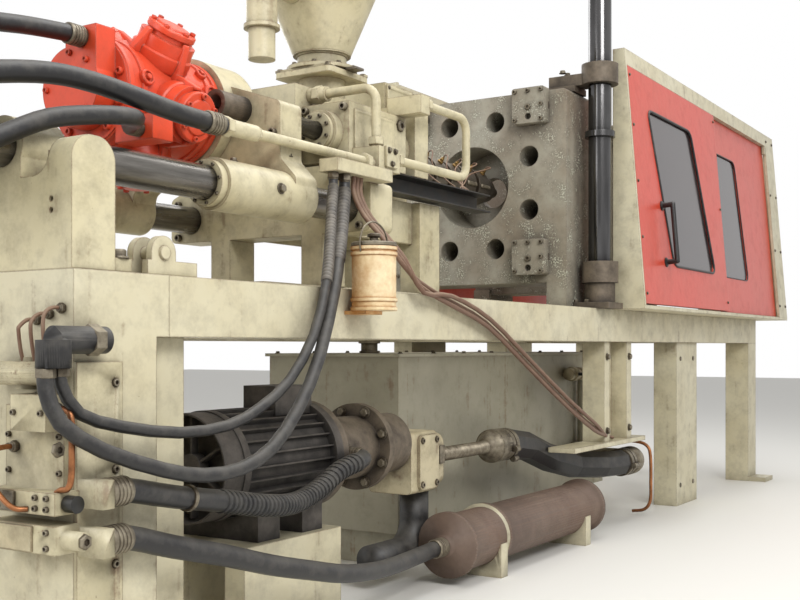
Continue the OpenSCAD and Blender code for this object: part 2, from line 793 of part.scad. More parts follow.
module pump_pipes() {
    start = pump_end + 260;
    elbow_x = pump_end + 170;
    elbow_y = -pump_y - 14;
    color(steel) {
        bar_x([start, outlet_hose[0][0] - 140], -outlet_y, outlet_z, 30);
        translate([outlet_hose[0][0] - 140, -outlet_y, outlet_z]) rotate([0, 90, 0])
            cylinder(h = 60, r1 = 34, r2 = 72);
        bar_x([outlet_hose[0][0] - 80, outlet_hose[0][0]], -outlet_y, outlet_z, 76);
    }
    // Suction hose bent under the pump
    color(rubber) {
        bar_z(elbow_x, elbow_y, [250, block_z - 123], 60);
        translate([elbow_x - 130, elbow_y, 250]) rotate([90, 0, 0]) rotate([0, 0, -90])
            rotate_extrude(angle = 90) translate([130, 0]) circle(60);
        bar_x([elbow_x - 330, elbow_x - 130], elbow_y, 120, 60);
    }
    // Elbow that takes the thick hose into the tank
    last = outlet_hose[len(outlet_hose) - 1];
    color(iron) {
        bar_x([last[0], last[0] + 80], last[1], last[2], 76);
        translate([last[0] + 80, last[1], last[2]]) sphere(76);
        bar_y(last[0] + 80, [last[1], -tank_near], last[2], 60);
    }
}

module oil_cooler() {
    x = cooler_x;
    y = -580;
    z = 160;
    color(brown) {
        bar_x(x, y, z, cooler_r);
        for (e = [x[0], x[0] + 300, x[1] - 30]) bar_x([e, e + 30], y, z, cooler_r + 14);
        bar_x([x[0] - 30, x[0]], y, z, 45);
    }
    color(cream) for (s = [x[0] + 240, x[1] - 220]) difference() {
        block([s, s + 60], [y - 120, y + 120], [0, z - 20]);
        bar_x([s - through, s + 61], y, z, cooler_r + gap);
    }
}

module valve_blocks() {
    near = -base_half + 12;
    color(cream) {
        block([-20, 0], [near, near + 215], [600, 805]);
        block([-75, 0], [near, near + 130], [745, 835]);
        block([-75, 0], [-base_half - 20, near + 215], [545, 600]);
        block([-75, 0], [-base_half - 20, near + 215], [450, 520]);
        bar_y(-38, [-base_half - 80, -base_half - 20], 485, 23);
    }
    color(iron) {
        bar_y(-45, [-base_half + 17, -base_half + 260], 885, 30);
        block([-45, 0], [-base_half + 100, -base_half + 160], [845, 925]);
    }
}

module pedestal_fittings() {
    pedestal_cover();
    valve_blocks();
}

module valve_knob() {
    color(dark) {
        bar_y(-38, [-base_half - 58, -base_half - 24], 572, 21);
        bar_y(-38, [-base_half - 24, -base_half - 20 - gap], 572, 8);
    }
}

module grease_can() {
    x = 1198;
    y = -base_half - 85;
    r = 78;
    low = base_h - 74;
    color(rust_yellow) {
        bar_z(x, y, [low, low + 212], r - 4);
        for (z = [low, low + 30, low + 182, low + 200]) bar_z(x, y, [z, z + 12], r);
        bar_z(x, y, [low + 212, low + 240], 12);
    }
    color(cream) block([x - 50, x + 50], [y, -base_half], [low - 12, low]);
}

/* Injection unit: what moves with the carriage */

module guide_columns() {
    color(chrome) both_sides() bar_x([bridge_x - 60, carrier_end], -column_y, column_z, column_r);
}

module rear_bridge() {
    top = axis_z + 110;
    color(iron) difference() {
        along_x(bridge_x, bridge_t) polygon(rounded([[-545, column_z - 95], [480, column_z - 90],
            [480, column_z + 90], [70, top], [-200, top], [-545, column_z + 210]], 30));
        both_sides() bar_x([bridge_x - through, bridge_x + bridge_t + through], -column_y, column_z,
            column_r + gap / 2);
    }
    color(steel) both_sides() difference() {
        bar_x([bridge_x - 50, bridge_x], -column_y, column_z, column_r + 25);
        bar_x([bridge_x - 51, bridge_x + through], -column_y, column_z, column_r + gap / 2);
    }
}

module column_carrier() {
    top = axis_z - 142;
    wing = 500;
    color(cream) difference() {
        union() {
            along_x(carrier_x, carrier_t) polygon(rounded([[-wing, column_z - 90], [-wing, column_z + 90],
                [-300, top], [300, top], [wing, column_z + 90], [wing, column_z - 90]], 25));
            both_sides() block([carrier_x, carrier_end], [-rail_y - 50, -rail_y + 50],
                [rail_top + gap, column_z - 60]);
            block([carrier_x - 290, carrier_x], [-560, -480], [box_low, box_low + 46]);
            block([carrier_x, carrier_x + 60], [-560, -300], [box_low, box_low + 46]);
        }
        both_sides() bar_x([carrier_x - through, carrier_end + through], -column_y, column_z, column_r + gap / 2);
    }
}

module feed_housing() {
    cap_r = throat_r + 18;
    color(cream) difference() {
        union() {
            block([housing_x, housing_end], [-housing_half, housing_half], [axis_z - 142, axis_z + 120]);
            block([housing_x, hopper_x + 150], [-housing_half, housing_half], [axis_z + 120, axis_z + 203]);
            bar_z(hopper_x, 0, [axis_z + 203, throat_z - 25], cap_r - 20);
            translate([hopper_x, 0, throat_z - 25]) linear_extrude(25) round_rect(2 * cap_r + 50, 2 * cap_r + 50, 20);
        }
        bar_x([housing_x - through, housing_end + through], 0, axis_z, screw_r + 8 + gap);
        bar_z(hopper_x, 0, [axis_z, throat_z + through], 55);
    }
}

module injection_cylinders() {
    half = 112;
    body_x = carrier_x + 91;
    color(cream) both_sides() difference() {
        union() {
            bar_x([carrier_x + 45, body_x + 592], -rod_y, axis_z, 85);
            bar_x([carrier_x + 25, carrier_x + 45], -rod_y, axis_z, 74);
            block([body_x, body_x + 412], [-rod_y - half, -housing_half], [axis_z - half - 2, axis_z + half + 5]);
            block([body_x + 483, body_x + 592], [-rod_y - half, -housing_half], [axis_z - half - 2, axis_z + half + 80]);
        }
        bar_x([carrier_x, body_x + 480], -rod_y, axis_z, rod_r + gap);
    }
}

module barrel() {
    nose = barrel_end + 150;
    color(steel) difference() {
        union() {
            bar_x([housing_end, barrel_end], 0, axis_z, barrel_r);
            translate([barrel_end, 0, axis_z]) rotate([0, 90, 0]) rotate_extrude()
                polygon([[0, 0], [62, 0], [62, 60], [34, 90], [28, 150], [0, 150]]);
        }
        bar_x([housing_end - through, barrel_end], 0, axis_z, screw_r + gap);
        bar_x([barrel_end - through, nose + through], 0, axis_z, 6);
    }
}
module heater_bands() {
    start = support_x + support_t + 14;
    pitch = (barrel_end - 20 - start) / band_count;
    color(steel) for (i = [0:band_count - 1]) difference() {
        bar_x([start + i * pitch, start + i * pitch + band_w], 0, axis_z, barrel_r + 17);
        bar_x([start + i * pitch - through, start + i * pitch + band_w + through], 0, axis_z, barrel_r + gap);
    }
}

module barrel_support() {
    cross_z = column_z - 73;
    color(cream) {
        difference() {
            union() {
                block([support_x, support_x + support_t], [-108, 108], [cross_z, axis_z + 100]);
                block([support_x, support_x + support_t], [-rail_y - 50, rail_y + 50], [cross_z, cross_z + 179]);
                both_sides() block([support_x, support_x + support_t], [-rail_y - 50, -rail_y + 50],
                    [rail_top + gap, cross_z]);
            }
            bar_x([support_x - through, support_x + support_t + through], 0, axis_z, barrel_r + gap);
        }
        both_sides() block([carrier_end, support_x], [-rail_y - 10, -rail_y + 10], [cross_z, cross_z + 179]);
    }
    color(pale) block([support_x - 12, support_x + 222], [-108, 108], [axis_z + 100, axis_z + 338]);
}

module wiring_tray() {
    x = [carrier_end + 37, support_x + 554];
    back = -rod_y - 22;
    top = axis_z - 114;
    color(dark) {
        block(x, [back - 12, back], [top - 82, top]);
        for (z = [top - 82, top - 6]) block(x, [back - 86, back - 12], [z, z + 6]);
    }
}

// Quarter bend of a pipe whose end runs up to it and then turns away along +Y or -X
module bend_over(x, y, z, bend, r, turn) {
    translate([x, y, z]) rotate([0, 0, turn]) translate([bend, 0, 0]) rotate([90, 0, 0]) rotate([0, 0, 90])
        rotate_extrude(angle = 90) translate([bend, 0]) circle(r);
}

module injection_pipes() {
    z = axis_z - 130;
    near = -rod_y - 112;
    block_top = axis_z + 117;
    tee_x = carrier_x + 144;
    loop_x = 2390;
    bend = 60;
    loop_low = z + 35;
    loop_high = block_top + 46;
    branch_z = axis_z + 168;
    color(cream) {
        bar_x([cylinder_hose[len(cylinder_hose) - 1][0], 960], -pipe_y, z, 27);
        bar_x([960, tee_x - 30], -pipe_y, z, pipe_r);
        block([tee_x - 30, tee_x + 120], [-pipe_y - 32, near], [z - 26, z + 66]);
        bar_x([tee_x + 120, loop_x - bend], -pipe_y, loop_low, pipe_r);
        bend_up(loop_x - bend, -pipe_y, loop_low, bend, pipe_r);
        bar_z(loop_x, -pipe_y, [loop_low + bend, loop_high - bend], pipe_r);
        bend_over(loop_x, -pipe_y, loop_high - bend, bend, pipe_r, 180);
        bar_x([carrier_x + 503, loop_x - bend], -pipe_y, loop_high, pipe_r);
        block([carrier_x + 433, carrier_x + 503], [-pipe_y - 26, near + 49], [block_top, block_top + 76]);
        bar_z(tee_x, -pipe_y, [z + 66, branch_z - bend], pipe_r);
        bend_over(tee_x, -pipe_y, branch_z - bend, bend, pipe_r, 90);
        bar_y(tee_x, [-pipe_y + bend, -200], branch_z, pipe_r);
        bar_y(tee_x, [-200, -housing_half], branch_z, pipe_r + 12);
    }
}

// Upright wall of the hopper with its rim
module hopper() {
    top_r = hopper_r;
    w = hopper_wall;
    color(cream) {
        translate([hopper_x, 0, 0]) rotate_extrude() polygon([[top_r, cone_top], [top_r + w, cone_top],
            [top_r + w, hopper_top - 12], [top_r + w + 14, hopper_top - 12], [top_r + w + 14, hopper_top],
            [top_r, hopper_top]]);
        // Ears and pin of the lid's hinge on the rim
        for (x = [-50, 30 + gap]) along_x(hopper_x + x, 20 - gap) {
            translate([top_r + w + 4, hopper_top - 12]) square([hinge_y + 10 - top_r - w - 4, 12]);
            translate([hinge_y - 10, hopper_top - 12]) square([20, hinge_z - hopper_top + 12]);
            translate([hinge_y, hinge_z]) circle(10);
        }
    }
    color(steel) bar_x([hopper_x - 54, hopper_x + 54], hinge_y, hinge_z, 5);
}

// Cone of the hopper
module hopper_cone() {
    low_r = throat_r + 18;
    w = hopper_wall;
    color(cream) translate([hopper_x, 0, 0]) rotate_extrude() polygon([[low_r, cone_z + w], [low_r + w, cone_z + w],
        [hopper_r + w, cone_top], [hopper_r, cone_top]]);
}

// Throat of the hopper, with the two rails that the gate slides between
module hopper_throat() {
    low_r = throat_r + 18;
    w = hopper_wall;
    color(cream) {
        translate([hopper_x, 0, 0]) rotate_extrude() polygon([[throat_r, hopper_z], [low_r + 30, hopper_z],
            [low_r + 30, hopper_z + 16], [throat_r + w, hopper_z + 16], [throat_r + w, cone_z],
            [low_r + w, cone_z], [low_r + w, cone_z + w], [throat_r, cone_z + w]]);
        for (x = [-1, 1]) translate([hopper_x + x * (gate_half + gap + 15) - 15, -low_r - 25, throat_z])
            cube([30, 2 * low_r + 50, hopper_z - throat_z]);
    }
}

// Chute that empties the hopper, ending on the wall of its cone
module hopper_spout() {
    x = 1517;
    bend = 90;
    up = hopper_z + 215;
    low_r = throat_r + 18 + hopper_wall;
    color(cream) difference() {
        union() {
            bar_z(x, 0, [hopper_z - 30, hopper_z + 90], 53);
            bar_z(x, 0, [hopper_z + 90, hopper_z + 106], 71);
            bar_z(x, 0, [hopper_z + 106, up], 61);
            translate([x + bend, 0, up]) rotate([90, 0, 0]) rotate([0, 0, 90])
                rotate_extrude(angle = 90) translate([bend, 0]) circle(61);
            bar_x([x + bend, hopper_x], 0, up + bend, 61);
        }
        translate([hopper_x, 0, cone_z]) cylinder(h = cone_h, r1 = low_r, r2 = hopper_r + hopper_wall);
    }
}

module hopper_lid() {
    color(pale) {
        bar_z(hopper_x, 0, [hopper_top + gap, hopper_top + 8], lid_r);
        bar_z(hopper_x, -lid_r + 60, [hopper_top + 8, hopper_top + 40], 16);
        difference() {
            along_x(hopper_x - 30, 60) {
                translate([lid_r - 30, hopper_top + gap]) square([hinge_y - lid_r + 30, 8 - gap]);
                translate([hinge_y, hinge_z]) circle(10);
            }
            bar_x([hopper_x - 31, hopper_x + 31], hinge_y, hinge_z, 5.1);
        }
    }
}

module hopper_gate() {
    z = [throat_z + gap, throat_z + gap + gate_t];
    color(steel) {
        block([hopper_x - gate_half, hopper_x + gate_half], [-gate_half, gate_half], z);
        block([hopper_x - 30, hopper_x + 30], [-gate_half - 90, -gate_half], z);
    }
}

/* Injection unit: what moves with the crosshead */

module crosshead() {
    arm_y = 400;
    sleeve_r = 85;
    half = [[114, axis_z + 112], [arm_y, axis_z + 15], [arm_y, column_z + 130], [column_y + 78, column_z + 60],
        [column_y + 78, column_z - 40], [column_y - 60, column_z - 60], [column_y - 90, column_z + 60],
        [200, axis_z - 190]];
    other = [for (i = [len(half) - 1:-1:0]) [-half[i][0], half[i][1]]];
    color(cream) difference() {
        union() {
            along_x(crosshead_x, crosshead_t) polygon(rounded(concat(half, other), 26));
            bar_x([motor_end, crosshead_end], 0, axis_z, 200);
            both_sides() bar_x([crosshead_x - 340, crosshead_end], -column_y, column_z, sleeve_r);
        }
        bar_x([motor_end - through, crosshead_end + through], 0, axis_z, screw_r + 8 + gap);
        both_sides() {
            bar_x([motor_end - through, crosshead_x], -rod_y, axis_z, rod_nut_r + 4);
            bar_x([crosshead_x - 341, crosshead_end + through], -column_y, column_z, column_r + gap);
            bar_x([crosshead_x - through, crosshead_end + through], -rod_y, axis_z, rod_r + gap / 2);
        }
    }
    color(iron) both_sides() difference() {
        bar_x([crosshead_x - 370, crosshead_x - 340], -column_y, column_z, 75);
        bar_x([crosshead_x - 371, crosshead_x - 339], -column_y, column_z, column_r + gap);
    }
}

module radial_motor() {
    start = motor_end - motor_len;
    mid = start + motor_len / 2;
    color(orange_red) {
        difference() {
            union() {
                bar_x([start, motor_end], 0, axis_z, motor_r);
                for (i = [0:4]) translate([mid, 0, axis_z]) rotate([34 + 72 * i, 0, 0]) {
                    cylinder(h = motor_reach - 30, r = 96);
                    cylinder(h = motor_reach, r = 78);
                }
                bar_x([start - 80, start], 0, axis_z, 128);
                block([start - 80, start], [-120, 20], [axis_z, axis_z + 185]);
                block([start, start + 90], [-285, -120], [axis_z - 180, axis_z - 100]);
            }
            bar_x([motor_end - 120, motor_end + through], 0, axis_z, screw_r + 8 + gap);
        }
    }
}

module injection_rods() {
    nut_len = 140;
    color(chrome) both_sides() bar_x([crosshead_x, carrier_x + 254], -rod_y, axis_z, rod_r);
    color(iron) both_sides() difference() {
        bar_x([crosshead_x - nut_len, crosshead_x], -rod_y, axis_z, rod_nut_r);
        bar_x([crosshead_x - nut_len - through, crosshead_x - nut_len + 50], -rod_y, axis_z, 30);
    }
}

module screw() {
    tip = barrel_end - screw_stroke - 20;
    color(steel) {
        bar_x([motor_end - 100, housing_x + 60], 0, axis_z, screw_r + 8);
        bar_x([housing_x + 60, tip - 60], 0, axis_z, screw_r);
        translate([tip - 60, 0, axis_z]) rotate([0, 90, 0]) cylinder(h = 60, r1 = screw_r, r2 = 6);
    }
}

module hoses_colour() { color(rubber) children(); }
module motor_hose_upper() { hoses_colour() hose(upper_motor_hose, upper_motor_hose_r); }
module motor_hose_lower() { hoses_colour() hose(lower_motor_hose, lower_motor_hose_r); }
module cylinder_hose_tube() { hoses_colour() hose(cylinder_hose, cylinder_hose_r); }
module conduit_upper() { hoses_colour() hose(upper_conduit, upper_conduit_r); }
module conduit_lower() { hoses_colour() hose(lower_conduit, lower_conduit_r); }
module outlet_hose_tube() { hoses_colour() hose(outlet_hose, outlet_hose_r); }
module pedestal_hose_upper() { hoses_colour() hose(upper_pedestal_hose, upper_pedestal_hose_r); }
module pedestal_hose_lower() { hoses_colour() hose(lower_pedestal_hose, lower_pedestal_hose_r); }

// Everything is moved so that the origin lies between the floor anchors
module at_origin() {
    translate([-origin_x, 0, 0]) children();
}

at_origin() rear_pedestal();
at_origin() side_beams();
at_origin() bed_frame();
at_origin() base_legs();
at_origin() rear_yoke();
at_origin() pedestal_fittings();
at_origin() stationary_platen();
at_origin() tie_bars();
at_origin() tie_bar_nuts();
at_origin() cylinder_platen();
at_origin() clamp_cylinder();
at_origin() guard_frame();
at_origin() guard_fixed_panels();
at_origin() guard_windows();
at_origin() post_collars();
at_origin() oil_tank();
at_origin() motor_frame();
at_origin() pump_and_bell();
at_origin() pump_block();
at_origin() pump_pipes();
at_origin() oil_cooler();
at_origin() grease_can();
at_origin() moving_platen();
at_origin() clamp_ram();
at_origin() ejector_plate();
at_origin() door_near();
at_origin() door_near_window();
at_origin() door_near_handle();
at_origin() door_far();
at_origin() jib_post();
at_origin() motor_fan();
at_origin() valve_knob();
at_origin() crosshead();
at_origin() radial_motor();
at_origin() injection_rods();
at_origin() screw();
at_origin() guide_columns();
at_origin() column_carrier();
at_origin() rear_bridge();
at_origin() injection_cylinders();
at_origin() feed_housing();
at_origin() barrel();
at_origin() heater_bands();
at_origin() barrel_support();
at_origin() wiring_tray();
at_origin() injection_pipes();
at_origin() hopper();
at_origin() hopper_cone();
at_origin() hopper_throat();
at_origin() hopper_spout();
at_origin() hopper_lid();
at_origin() hopper_gate();
at_origin() motor_hose_upper();
at_origin() motor_hose_lower();
at_origin() cylinder_hose_tube();  // cylinder_hose
at_origin() conduit_upper();
at_origin() conduit_lower();
at_origin() outlet_hose_tube();  // outlet_hose
at_origin() pedestal_hose_upper();
at_origin() pedestal_hose_lower();
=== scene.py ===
# %% [markdown]
# # An injection moulding machine, dressed for its picture
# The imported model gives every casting, plate and shaft at its real size and place. This
# lesson keeps those solids, lays real finishes on them, and adds what a maker would fit
# afterwards: screws, fittings, hoses, pipes, seams and oily wear.

# %% Load the fixed frame
import json
import math

import bmesh
import bpy
from mathutils import Matrix, Vector

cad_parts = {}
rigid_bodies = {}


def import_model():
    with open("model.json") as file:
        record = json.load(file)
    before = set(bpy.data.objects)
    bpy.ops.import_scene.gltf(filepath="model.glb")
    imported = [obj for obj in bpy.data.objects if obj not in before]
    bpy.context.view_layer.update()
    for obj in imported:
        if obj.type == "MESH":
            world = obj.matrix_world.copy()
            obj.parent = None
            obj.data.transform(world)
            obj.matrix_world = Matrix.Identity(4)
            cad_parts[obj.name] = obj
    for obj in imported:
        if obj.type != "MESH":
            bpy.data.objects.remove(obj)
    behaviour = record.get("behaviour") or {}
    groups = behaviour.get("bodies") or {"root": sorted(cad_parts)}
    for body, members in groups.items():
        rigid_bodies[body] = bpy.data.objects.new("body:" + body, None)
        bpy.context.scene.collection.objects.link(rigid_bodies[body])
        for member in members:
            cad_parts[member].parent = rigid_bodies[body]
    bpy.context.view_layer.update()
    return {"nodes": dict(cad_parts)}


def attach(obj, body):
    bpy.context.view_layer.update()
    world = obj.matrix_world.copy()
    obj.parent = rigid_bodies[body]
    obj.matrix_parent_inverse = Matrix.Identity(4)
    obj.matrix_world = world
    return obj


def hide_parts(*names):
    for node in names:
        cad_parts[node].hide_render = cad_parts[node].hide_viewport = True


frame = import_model()

# %% [markdown]
# Lengths are written in millimetres as on a drawing, measured along the machine from the
# rear end of its base, across from its axis, and up from the floor. One function turns them
# into the frame's metres, whose origin lies between the floor anchors.

# %% Places in millimetres
ORIGIN = 3170.75


def at(x, y, z):
    """A drawing point in millimetres as a point of the frame in metres."""
    return Vector(((x - ORIGIN) / 1000, y / 1000, z / 1000))


def mm(length):
    """Millimetres as the frame's metres."""
    return length / 1000


print("rear end of the base:", [round(v, 3) for v in at(0, 0, 0)])

# %% [markdown]
# The camera comes first. It stands low beside the rear end, looks level, 32 degrees off the
# machine's axis, and a small vertical shift gives the photograph's horizon without tilting
# the uprights.

# %% Camera
PICTURE_WIDTH, PICTURE_HEIGHT = 800, 600
LENS_PX, HORIZON_PX = 1110, 347
SENSOR = 36
eye = bpy.data.cameras.new("eye")
camera = bpy.data.objects.new("camera", eye)
bpy.context.scene.collection.objects.link(camera)
camera.location = at(-1868, -2790, 950)
ahead = Vector((0.8443, 0.5358, 0))
camera.rotation_euler = ahead.to_track_quat("-Z", "Y").to_euler()
eye.sensor_width = SENSOR
eye.lens = SENSOR * LENS_PX / PICTURE_WIDTH
eye.shift_y = (HORIZON_PX - PICTURE_HEIGHT / 2) / PICTURE_WIDTH
eye.clip_end = 60
bpy.context.scene.camera = camera
print("lens:", round(eye.lens, 2), "shift:", round(eye.shift_y, 4))

# %% [markdown]
# **Cords.** Seven hoses and conduits cross from part to part, and each is a fixed length of
# one kind of hose. Their routes repeat those of the solids: a smooth curve is drawn through
# the route's points, straight out of each fitting for a few diameters. A Catmull-Rom curve
# is used because it passes through every point that the drawing gives.

# %% A smooth line through given points


def smooth_line(points, steps=3):
    """The points of a Catmull-Rom curve through the given points."""
    p = [Vector(v) for v in points]
    p = [p[0] * 2 - p[1]] + p + [p[-1] * 2 - p[-2]]
    line = []
    for i in range(1, len(p) - 2):
        for k in range(steps):
            t = k / steps
            line.append(0.5 * ((2 * p[i]) + (p[i + 1] - p[i - 1]) * t
                               + (2 * p[i - 1] - 5 * p[i] + 4 * p[i + 1] - p[i + 2]) * t * t
                               + (3 * p[i] - p[i - 1] - 3 * p[i + 1] + p[i + 2]) * t * t * t))
    line.append(p[-2])
    return line


def curve_piece(name, line, radius, around=4, closed=False):
    """A round tube of one spline along a line in millimetres, and the length of its run."""
    shape = bpy.data.curves.new(name, "CURVE")
    shape.dimensions = "3D"
    shape.bevel_depth = 1
    shape.bevel_resolution = around
    shape.use_fill_caps = True
    spline = shape.splines.new("POLY")
    spline.points.add(len(line) - 1)
    for place, point in zip(spline.points, line):
        place.co, place.radius = (*at(*point), 1), mm(radius)
    spline.use_smooth, spline.use_cyclic_u = True, closed
    piece = bpy.data.objects.new(name, shape)
    bpy.context.scene.collection.objects.link(piece)
    run = sum((at(*a) - at(*b)).length for a, b in zip(line, line[1:]))
    return piece, run


# %% [markdown]
# The five hoses are braided rubber, 52 to 62 mm thick, and the two conduits are 32 and
# 40 mm. A curve with a round section makes an even tube of each, and the length of its line
# is the length that a maker would cut. Each route starts at the fitting its cord leaves.

# %% The seven cords
routes = {
    "motor_hose_upper": (28, 3, "carriage", [
        (-230, -130, 1832), (-180, -130, 1832), (-40, -124, 1845), (100, -112, 1868),
        (217, -100, 1888), (340, -80, 1910), (500, -60, 1930), (560, -60, 1930)]),
    "motor_hose_lower": (26, 3, "carriage", [
        (-230, -500, 1420), (-190, -500, 1420), (-60, -500, 1485), (60, -500, 1539),
        (200, -500, 1572), (330, -484, 1594), (440, -420, 1612), (530, -310, 1630),
        (600, -228, 1636), (640, -228, 1636)]),
    "cylinder_hose": (30, 3, "carriage", [
        (-230, -430, 1610), (-180, -430, 1610), (-39, -430, 1648), (119, -430, 1677),
        (260, -430, 1682), (420, -430, 1672), (600, -430, 1656), (740, -430, 1652),
        (800, -430, 1652)]),
    "conduit_upper": (16, 2, "base", [
        (-75, -700, 900), (-75, -700, 860), (-30, -712, 790), (90, -726, 752), (290, -735, 724),
        (480, -735, 732), (620, -734, 775), (760, -730, 850), (900, -715, 985), (1000, -690, 1150),
        (1110, -625, 1285), (1210, -560, 1420), (1275, -520, 1510), (1275, -520, 1559.7)]),
    "conduit_lower": (20, 2, "base", [
        (-120, -700, 900), (-120, -700, 850), (-95, -722, 770), (10, -748, 700), (200, -765, 636),
        (350, -765, 608), (500, -765, 612), (640, -762, 660), (770, -755, 765), (900, -738, 920),
        (1040, -695, 1135), (1140, -640, 1250), (1250, -575, 1375), (1335, -525, 1500),
        (1335, -525, 1559.7)]),
    "pedestal_hose_upper": (31, 3, "base", [
        (40, -722, 592), (110, -722, 592), (280, -722, 556), (480, -714, 520), (700, -690, 480),
        (900, -640, 460), (1060, -606, 478), (1200, -600, 530), (1320, -600, 553),
        (1395, -560, 555), (1395, -515, 555)]),
    "pedestal_hose_lower": (31, 3, "base", [
        (40, -722, 474), (110, -722, 474), (280, -724, 424), (480, -720, 370), (700, -710, 305),
        (900, -703, 255), (1119, -690, 205), (1400, -650, 170), (1700, -600, 160),
        (1860, -580, 160), (1930, -580, 160)]),
}
cords = {}
for node, (radius, steps, rider, points) in routes.items():
    hose, run = curve_piece(node + "_tube", smooth_line(points, steps), radius)
    cords[node] = hose
    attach(hose, rider)
    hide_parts(node)
    print(node, "length", round(run, 3), "points", len(hose.data.splines[0].points))

# %% [markdown]
# One small function adds a node with its settings and its links, and one turns a written
# sRGB colour into the linear numbers that a shader works with.

# %% Node and colour helpers


def add(tree, kind, inputs=None, stops=None, **settings):
    """A shader node with its inputs, linked or set, and with its colour stops if it is a ramp."""
    made = tree.nodes.new("ShaderNode" + kind)
    for name, value in settings.items():
        setattr(made, name, value)
    for name, value in (inputs or {}).items():
        if isinstance(value, bpy.types.NodeSocket):
            tree.links.new(value, made.inputs[name])
        else:
            made.inputs[name].default_value = value
    if stops:
        ramp = made.color_ramp
        while len(ramp.elements) > len(stops):
            ramp.elements.remove(ramp.elements[-1])
        while len(ramp.elements) < len(stops):
            ramp.elements.new(1)
        for element, (place, shade) in zip(ramp.elements, stops):
            element.position = place
            element.color = shade if isinstance(shade, tuple) else (shade, shade, shade, 1)
    return made


def colour(code):
    """A hex sRGB colour as linear RGBA."""
    parts = [int(code[i:i + 2], 16) / 255 for i in (1, 3, 5)]
    return tuple(p / 12.92 if p <= 0.04045 else ((p + 0.055) / 1.055) ** 2.4 for p in parts) + (1,)


def blank(name):
    """An empty material with its coordinates and its shader."""
    made = bpy.data.materials.new(name)
    made.use_nodes = True
    tree = made.node_tree
    tree.nodes.clear()
    out = add(tree, "OutputMaterial")
    shader = add(tree, "BsdfPrincipled")
    tree.links.new(shader.outputs[0], out.inputs["Surface"])
    where = add(tree, "TexCoord").outputs["Object"]
    return made, tree, shader, where
